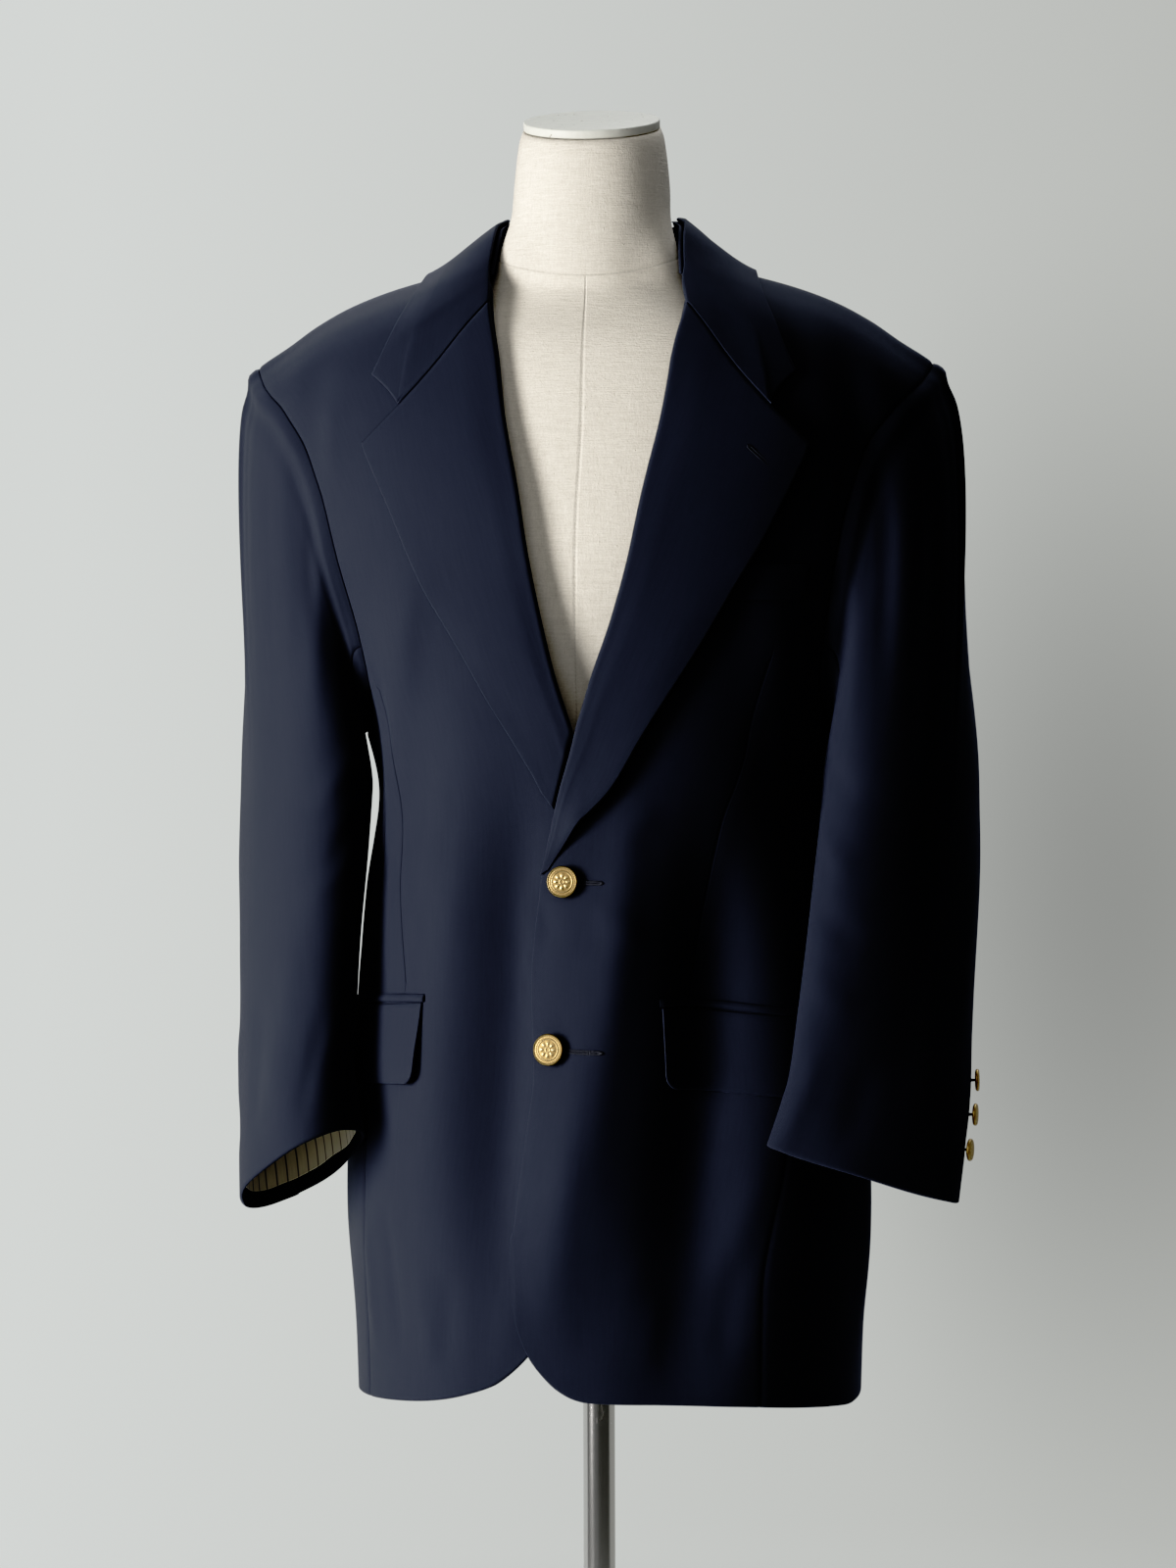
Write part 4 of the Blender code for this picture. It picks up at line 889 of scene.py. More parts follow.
# %% Grids of turns and levels
HEM_SHARES = np.linspace(0, 1, 25)[:-1]
LOW_ROWS = np.arange(HEM_ZONE, UNDERARM_LEVEL + 1, 5.0)
SHOULDER_ROWS = (1465, 1468, 1470.5, 1472.5, 1474, TOP_LEVEL)
HIGH_ROWS = np.concatenate([np.arange(1165.0, 1462, 5.0), SHOULDER_ROWS])
FRONT_SHARES = np.concatenate([np.linspace(0, 0.09, 13)[:-1], np.linspace(0.09, 1, 52)])
SIDE_SHARES = np.linspace(0, 1, 37)
BACK_SHARES = np.linspace(0, 1, 44)
BEND_START = 1000    # above this level the side bodies' rows bend towards the underarm curve


def panel_rows(side, near, far, levels, shares):
    """Turns and levels of a panel between two seams, near(level) and far(level). Below HEM_ZONE
    its rows close up evenly on the hem."""
    def row(level):
        start, end = near(level), far(level)
        return start[:, None] + (end - start)[:, None] * shares

    low = row(LOWEST + (HEM_ZONE - LOWEST) * HEM_SHARES)
    hem = hem_level(side, np.where(np.abs(low) > 180, 180 * side_sign(side), low))
    low_levels = hem + (HEM_ZONE - hem) * HEM_SHARES[:, None]
    high = row(levels)
    high_levels = np.broadcast_to(levels[:, None], high.shape)
    return np.concatenate([low, high]), np.concatenate([low_levels, high_levels])


def front_grid(side):
    def near(level):
        return column(FRONT_EDGE, EDGE_COLUMNS, side, np.maximum(level, FRONT_EDGE[0][0]))

    def far(level):
        return np.where(level <= UNDERARM_LEVEL, body_seam("front_" + side, level),
                        armhole_turn(side, "front", level))

    return panel_rows(side, near, far, np.concatenate([LOW_ROWS, HIGH_ROWS]), FRONT_SHARES)


def side_grid(side):
    """The side body. Towards the top its rows bend to follow the underarm curve."""
    turns, levels = panel_rows(side, lambda level: body_seam("front_" + side, level),
                               lambda level: body_seam("back_" + side, level),
                               LOW_ROWS, SIDE_SHARES)
    room = smooth(UNDERARM, underarm_turns(SIDE_SHARES)) - UNDERARM_LEVEL
    reach = UNDERARM_LEVEL - BEND_START
    bend = ease((levels - BEND_START) / reach) * (levels - BEND_START) / reach
    return turns, levels + room * np.where(levels > BEND_START, bend, 0)


def back_grid(side):
    sign = side_sign(side)

    def near(level):
        return body_seam("centre_back", level) - (0 if side == "left" else 360)

    def far(level):
        return np.where(level <= UNDERARM_LEVEL, body_seam("back_" + side, level),
                        armhole_turn(side, "back", level))

    turns, levels = panel_rows(side, near, far, np.concatenate([LOW_ROWS, HIGH_ROWS]), BACK_SHARES)
    reach = 1 - ease((180 - np.abs(turns)) / NECK_POINT_TURN)
    share = np.clip((levels - NECK_CURVE_START) / (TOP_LEVEL - NECK_CURVE_START), 0, 1)
    return turns, levels - (TOP_LEVEL - BACK_NECK_LEVEL) * reach * share


def panel_normals(turns, levels):
    """Outward directions, which are the same on both sides of the shoulder seam."""
    at_seam = ease((levels - TOP_LEVEL + 3) / 3)[..., None]
    return unit(body_normal(turns, levels) * (1 - at_seam * np.array([0, 1, 0])))


# %% Darts and the six panels
DART_SINK, DART_WIDTH = 0.5, 4.5
DARTS = {            # level and turn, up the seam
    "left": ((945.5, 20.0), (1067, 31.2), (1123, 39.0), (1183, 40.2)),
    "right": ((957, -45.5), (1036, -51.2), (1104, -53.0), (1160, -53.0)),
}


def dart_distance(side, turns, levels):
    """The distance in millimetres from a dart's seam, and far away beyond its ends."""
    rows = DARTS[side]
    away = (turns - smooth(rows, levels)) * ROUND_SCALE
    beyond = np.maximum(rows[0][0] - levels, levels - rows[-1][0])
    return away + np.sign(away + 1e-9) * np.maximum(beyond, 0)


BACK_EDGES = {"left": "seam", "right": "seam", "first": "free", "last": "seam"}


def make_body():
    for side in ("left", "right"):
        turns, levels = front_grid(side)
        lift = tucked(side, turns, levels)
        lift = lift - DART_SINK * bell(dart_distance(side, turns, levels), DART_WIDTH)
        wool_piece("front_" + side, lifted(turns, levels, lift), panel_normals(turns, levels),
                   {**BACK_EDGES, "left": "free"}, "hung", ["form_torso", "back_" + side],
                   WOOL_WITH_DART,
                   marks={"dart": dart_distance(side, turns, levels)})
        turns, levels = side_grid(side)
        wool_piece("side_panel_" + side, lifted(turns, levels, np.zeros(turns.shape)),
                   body_normal(turns, levels),
                   BACK_EDGES, "hung", ["front_" + side, "back_" + side])
        turns, levels = back_grid(side)
        wool_piece("back_" + side, lifted(turns, levels, np.zeros(turns.shape)),
                   panel_normals(turns, levels),
                   BACK_EDGES, "hung", ["form_torso"])


make_body()

# %% [markdown]
# ## The sleeves
#
# A tailored sleeve is two pieces: a wide top sleeve and a narrower under sleeve, joined by a
# front and a back seam. The head is eased into the armhole, so it rises in a small rope beside
# the seam and then falls straight. Each sleeve is one tube here: curves leave the armhole in the
# shoulder's own direction and arrive at the first ring of the arm heading straight down. The
# tube is then cut along its two seams.

# %% Sleeve rings
SLEEVE_COLUMNS = ("height", "side", "depth", "across", "along", "turn", "rise", "lean")
SLEEVES = {
    "right": (
        (826, 200, -92, 43, 46, 26, 33, 17), (850, 203, -83, 41, 52, 25, 25, 13),
        (882, 206, -72, 38, 57, 27, 15, 7), (930, 208, -56, 37, 65, 30, 6, 2),
        (985, 209, -42, 38, 71, 30, 3, 0), (1040, 208, -28, 40, 75, 30, 1, 0),
        (1090, 207, -16, 42, 76, 29, 0, 0),
    ),
    "left": (
        (836, 192, -149, 25, 66, 74, 18, 0), (860, 197, -137, 26, 66, 70, 14, 0),
        (890, 203, -120, 28, 67, 64, 10, 0), (930, 206, -96, 32, 69, 56, 6, 0),
        (985, 211, -68, 37, 72, 48, 3, 0), (1040, 215, -44, 41, 75, 40, 1, 0),
        (1090, 217, -26, 44, 76, 32, 0, 0),
    ),
}
CAP_REACH = {"left": 46.0, "right": 34.0}   # how far the head's curve is carried outwards
CAP_FALL = 62.0         # and how far above the first ring it comes straight down
CAP_STEPS, ARM_STEPS = 46, 54
FRONT_SEAM_ANGLE, BACK_SEAM_ANGLE = 125, 262
FIRST_RING = 1090.0
VENT_LENGTH = 88.0
SLEEVE_CREASES = {      # columns as FOLD_COLUMNS, with an angle round the arm for the turn
    "right": (
        (20, 1330, 10, 1010, 15, 1.6), (-28, 1280, -15, 1060, 14, -1.5),
        (62, 1350, 78, 1180, 12, -2.0), (95, 1290, 60, 1120, 13, 1.8),
        (120, 1130, 60, 1075, 9, 1.5), (128, 1085, 70, 1035, 8, -1.5),
        (112, 1045, 50, 1010, 9, 1.3), (140, 1000, 100, 985, 9, -1.2),
        (48, 1000, 38, 850, 13, 1.7), (15, 960, 22, 835, 12, -1.4),
        (82, 950, 70, 850, 10, -1.4), (-20, 930, -32, 850, 11, 1.3),
        (150, 1130, 215, 1085, 9, -1.7), (160, 1060, 225, 1035, 9, 1.5),
        (200, 980, 190, 870, 12, -1.4), (232, 1250, 240, 1090, 12, 1.6),
        (262, 1320, 285, 1130, 12, -1.8), (300, 1340, 315, 1180, 12, 1.6),
        (285, 1080, 300, 940, 12, 1.4), (320, 1040, 335, 900, 12, -1.4),
    ),
    "left": (
        (12, 1320, 22, 1040, 15, 1.6), (-25, 1310, -38, 1090, 13, -1.5),
        (70, 1340, 62, 1150, 12, -1.8), (98, 1270, 84, 1110, 12, 1.8),
        (128, 1120, 72, 1085, 9, -1.6), (118, 1070, 58, 1030, 9, 1.6),
        (105, 1020, 40, 985, 9, -1.5), (92, 975, 35, 940, 10, 1.2),
        (60, 930, 66, 845, 11, 1.5), (25, 920, 18, 850, 11, -1.3),
        (-10, 990, -22, 860, 12, 1.3), (155, 1110, 220, 1080, 9, 1.6),
        (165, 1045, 230, 1015, 9, -1.5), (205, 960, 196, 870, 12, 1.4),
        (240, 1240, 232, 1080, 12, -1.7), (270, 1330, 250, 1140, 12, 1.6),
        (305, 1330, 290, 1160, 12, -1.7), (290, 1060, 280, 930, 12, -1.5),
        (325, 1060, 318, 900, 12, 1.4),
    ),
}


def nearest(values, wanted):
    """The number of the value that is nearest to the wanted one."""
    return int(np.argmin(np.abs(values - wanted)))


ARMHOLE_KNOTS = np.array([row[0] for row in ARMHOLE[:-1]] + [TOP_LEVEL])


def armhole_loop(side, high, under_shares):
    """Turns and levels of the armhole, from the shoulder down the front, under the arm and up
    the back. high gives its levels from the underarm to the shoulder, and under_shares its
    places along the underarm curve."""
    under = underarm_turns(under_shares)
    turns = np.concatenate([armhole_turn(side, "front", high[::-1]), side_sign(side) * under,
                            armhole_turn(side, "back", high[:-1])])
    return turns, np.concatenate([high[::-1], smooth(UNDERARM, under), high[:-1]])


def angles_along(loop):
    """The angle round the sleeve of each point of a loop, by the way to it: 0 to 180 down to
    its lowest point, and on to 360 from there."""
    step = np.linalg.norm(np.roll(loop, -1, axis=0) - loop, axis=1)
    way = np.concatenate([[0], np.cumsum(step)[:-1]])
    bottom = int(np.argmin(loop[:, 2]))
    down = 180 * way / way[bottom]
    up = 180 + 180 * (way - way[bottom]) / (step.sum() - way[bottom])
    return np.where(np.arange(len(loop)) <= bottom, down, up)


def tube_normals(points):
    """Normals of the rings of a tube, turned away from each ring's middle."""
    outward = grid_normals(points, around=True)
    from_middle = points - points.mean(axis=1, keepdims=True)
    return outward * np.sign(np.median((from_middle * outward).sum(-1)))


def sleeve_rings(side, heights, angles):
    """Rings of a sleeve: an ellipse turned about the upright, tilted by rise and lean. Angle 0 is
    its outer side, 90 its front end and 180 its inner side."""
    sign = side_sign(side)
    heights = np.asarray(heights, float)[:, None]

    def value(name):
        return column(SLEEVES[side], SLEEVE_COLUMNS, name, heights)

    a = np.radians(angles)[None]
    outward, forward = value("across") * np.cos(a), value("along") * np.sin(a)
    turn = np.radians(value("turn"))
    x = outward * np.cos(turn) - forward * np.sin(turn)
    y = -(forward * np.cos(turn) + outward * np.sin(turn))
    z = heights + forward * np.tan(np.radians(value("rise")))
    z = z - outward * np.tan(np.radians(value("lean")))
    return np.stack([sign * (value("side") + x), value("depth") + y, z], -1)


# %% A sleeve as one tube
SLEEVE_GAP = 0.45        # from the armhole's edge
SMOOTHINGS = 6


def sleeve_tube(side):
    """Rows from the armhole to the cuff, columns round the arm. The head is a cubic curve from
    the armhole to the first ring, and the rows below are the rings themselves."""
    sideways = np.array([side_sign(side), 0, 0.0])
    high = np.interp(np.linspace(0, 9, 64), np.arange(10), ARMHOLE_KNOTS)
    turns, levels = armhole_loop(side, high, SIDE_SHARES[1:-1])
    loop, normals = body_point(turns, levels), body_normal(turns, levels)
    tangent = unit(np.roll(loop, -1, axis=0) - np.roll(loop, 1, axis=0))
    away = unit(np.cross(tangent, normals))
    away *= np.sign((away * (sideways + [0, 0, 0.4])).sum(-1, keepdims=True))
    start = loop + away * SLEEVE_GAP
    angles = angles_along(loop)
    first = sleeve_rings(side, [FIRST_RING], angles)[0]
    high = ((loop[:, 2] - loop[:, 2].min()) / np.ptp(loop[:, 2]))[:, None]
    lead = unit(away * high + sideways * (1.15 - high))
    t = np.linspace(0, 1, CAP_STEPS)[:, None, None]
    p1 = start + lead * CAP_REACH[side] * (0.35 + 0.65 * high)
    p2 = first + np.array([0, 0, 1.0]) * CAP_FALL * (0.25 + 1.6 * high)
    head = (1 - t)**3 * start + 3 * (1 - t)**2 * t * p1 + 3 * (1 - t) * t**2 * p2 + t**3 * first
    lowest = SLEEVES[side][0][0]
    arm = sleeve_rings(side, np.linspace(FIRST_RING, lowest, ARM_STEPS)[1:], angles)
    points = np.concatenate([head, arm])
    for _ in range(SMOOTHINGS):
        points[2:-1] += (points[1:-2] + points[3:] - 2 * points[2:-1]) * 0.25
    outward = tube_normals(points)
    outward[0] = unit(outward[0] * (1 - high) + normals * high)
    return points, outward, angles, high[:, 0]


# %% The four sleeve pieces
ROPE_RISE, ROPE_PLACE, ROPE_WIDTH = 2.0, 8.5, 5.0             # the ridge beside the seam
VALLEY_DEPTH, VALLEY_PLACE, VALLEY_WIDTH = 1.2, 21, 8.0       # and the hollow after it
RIPPLE_RISE, RIPPLES, RIPPLE_FADE = 1.1, 5, 22                # the cuff's edge waves a little
TURN_UP_RISE, TURN_UP_HEIGHT = 0.5, 42                        # its hem makes it thicker
VENT_STAND, VENT_LAP, VENT_FADE = 2.2, 5.0, 7.0


def make_sleeves():
    for side in ("left", "right"):
        points, outward, angles, high = sleeve_tube(side)
        from_head = edge_distance(points, "first")
        rope = ROPE_RISE * high * bell(from_head - ROPE_PLACE, ROPE_WIDTH)
        valley = VALLEY_DEPTH * high * bell(from_head - VALLEY_PLACE, VALLEY_WIDTH)
        from_cuff = edge_distance(points, "last")
        wave = np.sin(np.radians(angles * RIPPLES + 40))
        ripple = RIPPLE_RISE * wave * np.exp(-from_cuff / RIPPLE_FADE)
        turn_up = TURN_UP_RISE * ease((TURN_UP_HEIGHT - from_cuff) / 5)
        rise = fold_rise(angles, points[..., 2], SLEEVE_CREASES[side], scale=1.0)
        rise = rise * ease(from_head / 25)
        points = points + outward * (rise + rope - valley + ripple + turn_up)[..., None]
        front, back = nearest(angles, FRONT_SEAM_ANGLE), nearest(angles, BACK_SEAM_ANGLE)
        under = np.arange(front, back + 1)
        top = np.concatenate([np.arange(back, len(angles)), np.arange(0, front + 1)])
        for name, picked in (("top_sleeve_", top), ("under_sleeve_", under)):
            panel, facing = points[:, picked].copy(), outward[:, picked]
            if name == "top_sleeve_":
                panel = lap_vent(panel, facing, from_cuff[:, picked])
            wool_piece(name + side, panel, facing,
                       {"left": "seam", "right": "seam", "first": "seam", "last": "free"},
                       "hung", ["front_" + side, "back_" + side])


def lap_vent(panel, facing, from_cuff):
    """The cuff's vent: near the cuff the top sleeve's back edge stands off the under sleeve and
    laps a little over it."""
    near = ease((VENT_LENGTH - from_cuff) / 14)
    across = edge_distance(panel, "left")
    lap = np.exp(-across / VENT_FADE) * near
    over = unit(panel[:, :1] - panel[:, 3:4])
    return panel + facing * (VENT_STAND * lap)[..., None] + over * (VENT_LAP * lap)[..., None]


make_sleeves()

# %% [markdown]
# ## The cuff's lining
#
# The wearer's right cuff hangs open towards the camera and shows its striped lining. Only the
# part that shows is made, as a tube that follows the sleeve a little inside it.

# %% The striped tube
LINING_TOP, LINING_BOTTOM, LINING_INSET = 884, 834, 3.4


def make_lining():
    """The sleeve's own rings, moved in by the wool's thickness and a gap, a little wavy."""
    angles = np.linspace(0, 360, 140, endpoint=False)
    points = sleeve_rings("right", np.linspace(LINING_TOP, LINING_BOTTOM, 18), angles)
    outward = tube_normals(points)
    wave = 0.7 * np.sin(np.radians(angles * 7)) + 0.5 * np.sin(np.radians(angles * 12 + 50))
    points = points - outward * (LINING_INSET + wave)[..., None]
    cloth_piece("sleeve_lining_right", points, outward, {"last": "free"}, SATIN,
                "striped_satin", "hung", ["top_sleeve_right", "under_sleeve_right"],
                thickness=0.8, around=True)


make_lining()

# %% [markdown]
# ## Lapels and collar
#
# A lapel is the front's own upper edge, turned back. Its inside edge is not a cut but a soft
# roll, so the grid goes round a half circle there and tucks in under itself, and it fades into
# the front where the roll ends above the button. The right lapel lies close to the front, and
# the left one springs up towards its outer edge.

# %% The lapels' pattern
LAPEL_COLUMNS = ("roll_level", "roll_turn", "edge_level", "edge_turn")
LAPELS = {
    "left": (
        (1037, -8.6, 1040, -7.0), (1060, -6.7, 1058, -3.3), (1090, -4.6, 1075, -0.3),
        (1118, -2.2, 1097, 5.0), (1165, 1.3, 1138, 13.0), (1210, 5.2, 1180, 20.3),
        (1257, 8.2, 1228, 27.6), (1310, 10.1, 1268, 33.4), (1360, 11.2, 1303, 36.8),
        (1405, 11.4, 1327, 38.4), (1432, 12.0, 1338.5, 38.8),
    ),
    "right": (
        (1080, 2.8, 1079, 5.6), (1092, 1.6, 1091, 8.4), (1107, 1.0, 1104, 10.6),
        (1130, 2.0, 1119, 13.6), (1165, 4.5, 1150, 19.0), (1210, 6.6, 1186, 23.4),
        (1257, 8.2, 1232, 29.7), (1310, 9.4, 1274, 33.5), (1360, 10.2, 1308, 36.1),
        (1405, 10.5, 1330, 37.5), (1434, 11.0, 1341, 38.0),
    ),
}
GORGE_BOW = 8.0          # how far the gorge seam bows below a straight line
# heights off the front at the roll, just behind it and at the edge
LAPEL_LIFTS = {"left": (6.4, 7.2, 9.6), "right": (4.4, 5.4, 5.2)}
LAPEL_FADE = 0.2         # the lowest share of a lapel, where it rises out of the front
LAPEL_SUNK = 0.9         # how deep its lower end lies in the front
SWELL_RISE, SWELL_PITCH = 0.5, 23.0      # slow waves along it
ROLL_RADIUS, ROLL_END_RADIUS = 3.0, 1.1  # the roll's, and at its lower end
ROLL_SHIFT = 0.45                        # the roll's middle is this many degrees off the table's
UNDER_LAP = 7.0                          # how far the right lapel dives under the left front
UNDER_LAP_LEVEL, UNDER_LAP_FADE = 1150, 30


def by_row(table, columns, at, rows=1):
    """Every column of a table, read between its rows. Row number k is at k / rows."""
    keyed = [(k / rows,) + row for k, row in enumerate(table)]
    return [column(keyed, ("row",) + columns, name, at) for name in columns]


def lapel_grid(side, shares, rungs):
    """Turns and levels of a lapel. Rung 0 is at its lower end and 1 at the gorge."""
    table = LAPELS[side]
    roll_level, roll_turn, edge_level, edge_turn = by_row(table, LAPEL_COLUMNS, rungs,
                                                          len(table) - 1)
    roll_turn = roll_turn + ROLL_SHIFT * ease(rungs / 0.16)
    turn = side_sign(side) * (roll_turn + (edge_turn - roll_turn) * shares)
    bow = GORGE_BOW * np.sin(np.pi * shares) * rungs**6
    return turn, roll_level + (edge_level - roll_level) * shares - bow


def lapel_lift(side, shares):
    """The height of a lapel's outer face: it swells just behind the roll, and then goes over to
    the height of its edge, which is higher on the left and a little lower on the right."""
    start, beside, edge = LAPEL_LIFTS[side]
    puff = (beside - start) * ease(shares / 0.2)
    return start + puff - (beside - edge) * ease((shares - 0.2) / 0.8)


CURL_BACK = 3.0          # how far the cloth goes on under itself past the half circle


def curl(points, outward, radius, turns_in=1.0):
    """Columns before a grid's first one, round a half circle of the given radius and back under
    the cloth: the fold of a lapel or a collar."""
    away = unit(points[:, :1] - points[:, 1:2])
    facing = outward[:, :1]
    phi = np.linspace(math.pi * turns_in, 0, 10)[None, :-1, None]
    rolled = points[:, :1] + away * radius * np.sin(phi) + facing * radius * (np.cos(phi) - 1)
    normal = unit(facing * np.cos(phi) + away * np.sin(phi))
    under = rolled[:, :1] - away * CURL_BACK - facing * 0.1
    return (np.concatenate([under, rolled, points], axis=1),
            np.concatenate([normal[:, :1], normal, outward], axis=1))


# %% The two lapels
lapel_shares = np.concatenate([np.linspace(0, 0.16, 8)[:-1], np.linspace(0.16, 1, 30)])
lapel_edges = {}        # the upper edge of each lapel, which the collar is sewn to


def make_lapels():
    rungs = np.linspace(0, 1, 96)[:, None]
    shares = lapel_shares[None]
    for side in ("left", "right"):
        turns, levels = lapel_grid(side, shares, rungs)
        fade = ease(rungs / LAPEL_FADE)
        lift = (lapel_lift(side, shares) + tucked(side, turns, levels)) * fade
        lift = lift - LAPEL_SUNK * (1 - fade)
        middle = ease(shares / 0.3) * ease((1 - shares) / 0.3)
        lift = lift + SWELL_RISE * np.sin(levels / SWELL_PITCH) * middle * fade
        if side == "right":
            past = turns - column(FRONT_EDGE, EDGE_COLUMNS, "left", levels)
            low = ease((UNDER_LAP_LEVEL - levels) / UNDER_LAP_FADE)
            lift = lift - UNDER_LAP * ease((past + 1.3) / 1.5) * low
        points = lifted(turns, levels, lift, small=False)
        lapel_edges[side] = points[-1].copy()
        points[-1] += unit(points[-2] - points[-1]) * 0.1
        radius = (ROLL_END_RADIUS + (ROLL_RADIUS - ROLL_END_RADIUS) * fade)[..., None]
        points, outward = curl(points, body_normal(turns, levels), radius)
        wool_piece("lapel_" + side, points, outward,
                   {"right": "free", "last": "seam", "left": "plain", "first": "plain"},
                   "folded", ["front_" + side], thickness=1.8)


make_lapels()

# %% [markdown]
# The collar is one strip from gorge to gorge round the back of the neck. Its fall turns over at
# a fold that stands up off the neck, and its stand goes down inside to the neck seam. In front
# it ends in the notch: the gorge seam stops short, and the collar's end turns away from it.

# %% The collar's pattern
COLLAR_COLUMNS = ("fold_side", "fold_over", "fold_lift", "edge_side", "edge_over")
COLLAR = (
    (67, -84, 5.0, 145.5, -132), (67, -72, 6.5, 140, -116), (67, -60, 9.0, 132, -90),
    (65.5, -46, 13.5, 123, -58), (63.5, -26, 20.0, 117.5, -28), (61.5, 0, 25.5, 114, 0),
    (58, 24, 29.0, 105, 32), (45, 42, 30.5, 84, 58), (24, 51, 31.0, 48, 75), (0, 54, 31.0, 0, 80),
)
COLLAR_NOTCH, COLLAR_NOTCH_SHARE = (122.0, -158.0), 0.66
COLLAR_EDGE_LIFT = 4.6
LAPEL_NOTCH_SHARE, GORGE_GAP, GORGE_REACH = 0.646, 0.35, 14
COLLAR_SWELL, COLLAR_FOLD_RADIUS = 1.6, 1.3
STAND_START = 2                      # the stand runs from this rung, where the fall hides its end
STAND_DROP, STAND_TUCK = 2.1, 3.6    # its top edge lies this far below the fold and in from it
STAND_SPREAD, STAND_LIFT = 3.5, 0.9  # its foot is this far outside the fold and off the body


def collar_rungs(start):
    """Rung numbers from the left side's start to the middle, 9, and back, with their signs."""
    half = np.linspace(start, 9, int((9 - start) * 9) + 1)
    return np.concatenate([half, half[-2::-1]]), np.concatenate([np.ones(len(half)),
                                                                 -np.ones(len(half) - 1)])


def collar_points(shares):
    """The fall's outer face. Each column runs from the fold to the edge, and near the gorge its
    middle is pulled out to the notch's corner."""
    rungs, sign = collar_rungs(0)
    fold_side, fold_over, fold_lift, edge_side, edge_over = (
        line[None] for line in by_row(COLLAR, COLLAR_COLUMNS, rungs))
    shares = np.asarray(shares)[:, None]
    side = fold_side + (edge_side - fold_side) * shares
    over = fold_over + (edge_over - fold_over) * shares
    gorge = np.maximum(1 - rungs, 0)[None]
    row = COLLAR[0]
    for value, first, last, corner in ((side, row[0], row[3], COLLAR_NOTCH[0]),
                                       (over, row[1], row[4], COLLAR_NOTCH[1])):
        bent = np.interp(shares[:, 0], [0, COLLAR_NOTCH_SHARE, 1], [first, corner, last])
        value += (bent - (first + (last - first) * shares[:, 0]))[:, None] * gorge
    lift = COLLAR_EDGE_LIFT + (fold_lift - COLLAR_EDGE_LIFT) * (1 - shares) ** 1.6
    lift = lift + COLLAR_SWELL * np.sin(np.pi * shares)
    points = over_shoulder(COLLAR_CENTRE + sign[None] * side, over, lift)
    return meet_lapels(points, shares[:, 0])


def meet_lapels(points, shares):
    """Moves both ends of the collar so that, up to the notch, they lie along the lapels' upper
    edges. The move fades over GORGE_REACH columns, and above the notch over the rest."""
    sewn = np.minimum(shares / COLLAR_NOTCH_SHARE, 1)
    loose = ease((1 - shares) / (1 - COLLAR_NOTCH_SHARE))[:, None]
    for side, first, step in (("left", 0, 1), ("right", -1, -1)):
        edge = lapel_edges[side]
        met = np.stack([np.interp(sewn * LAPEL_NOTCH_SHARE, lapel_shares, edge[:, k])
                        for k in range(3)], -1)
        away = unit(points[:, first + 6 * step] - points[:, first])
        move = (met + away * GORGE_GAP - points[:, first]) * loose
        for k in range(GORGE_REACH):
            points[:, first + k * step] += move * (1 - ease(k / GORGE_REACH))
    return points


# %% Fall and stand
def make_collar():
    shares = np.concatenate([np.linspace(0, COLLAR_NOTCH_SHARE, 17)[:-1],
                             np.linspace(COLLAR_NOTCH_SHARE, 1, 9)])
    points = collar_points(shares)
    outward = grid_normals(points)
    outward *= np.sign(outward[..., 2].mean())
    near_gorge = ease(1 - collar_rungs(0)[0] / 2.5)[:, None, None]
    radius = COLLAR_FOLD_RADIUS + (ROLL_RADIUS - COLLAR_FOLD_RADIUS) * near_gorge
    across, facing = curl(points.transpose(1, 0, 2), outward.transpose(1, 0, 2), radius, 0.97)
    wool_piece("collar_fall", across, facing,
               {"right": "free", "first": "free", "last": "free", "left": "plain"},
               "folded", ["collar_stand"], thickness=1.8)
    rungs, sign = collar_rungs(STAND_START)
    first = nearest(collar_rungs(0)[0], STAND_START)
    fold = points[0, first:first + len(rungs)]
    inward = unit(np.array([COLLAR_CENTRE, RIDGE_Y, 0]) - fold * np.array([1, 1, 0]))
    top = fold - np.array([0, 0, STAND_DROP]) + inward * STAND_TUCK
    fold_side, fold_over = by_row(COLLAR, COLLAR_COLUMNS, rungs)[:2]
    foot = over_shoulder(COLLAR_CENTRE + sign * (fold_side + STAND_SPREAD), fold_over * 0.98,
                         np.full(len(rungs), STAND_LIFT))
    down = np.linspace(0, 1, 12)[:, None, None]
    rows = top + (foot - top) * down
    facing = grid_normals(rows)
    out = (rows - np.array([COLLAR_CENTRE, RIDGE_Y, 0])) * np.array([1, 1, 0])
    facing *= np.sign((facing * out).sum(-1).mean())
    wool_piece("collar_stand", rows, facing,
               {"first": "free", "last": "seam", "left": "plain", "right": "plain"},
               "folded", ["back_left", "back_right"])


make_collar()

# %% [markdown]
# ## Pockets
#
# Each hip pocket has a flap with rounded lower corners that comes out from under a narrow jet,
# and the breast pocket has a slanted welt. They are flat strips on the body's surface, lifted
# by about the cloth's thickness and a little more towards the free edge.

# %% Flaps, jets and welt
FLAP_START = {"left": 13.3, "right": 38.4}
FLAP_TURN, FLAP_LENGTH = 49.0, 150.0
FLAP_TOP, FLAP_HEIGHT, FLAP_SLOPE, FLAP_CORNER = 946.0, 55.0, 0.28, 9.0
FLAP_LIFT, FLAP_FLARE = 2.2, {"left": 1.2, "right": 3.6}
JET_HEIGHT = 5.5
WELT_TURN, WELT_LEVEL, WELT_HEIGHT, WELT_LIFT = (20.5, 46.5), 1222.0, 25.0, 2.4


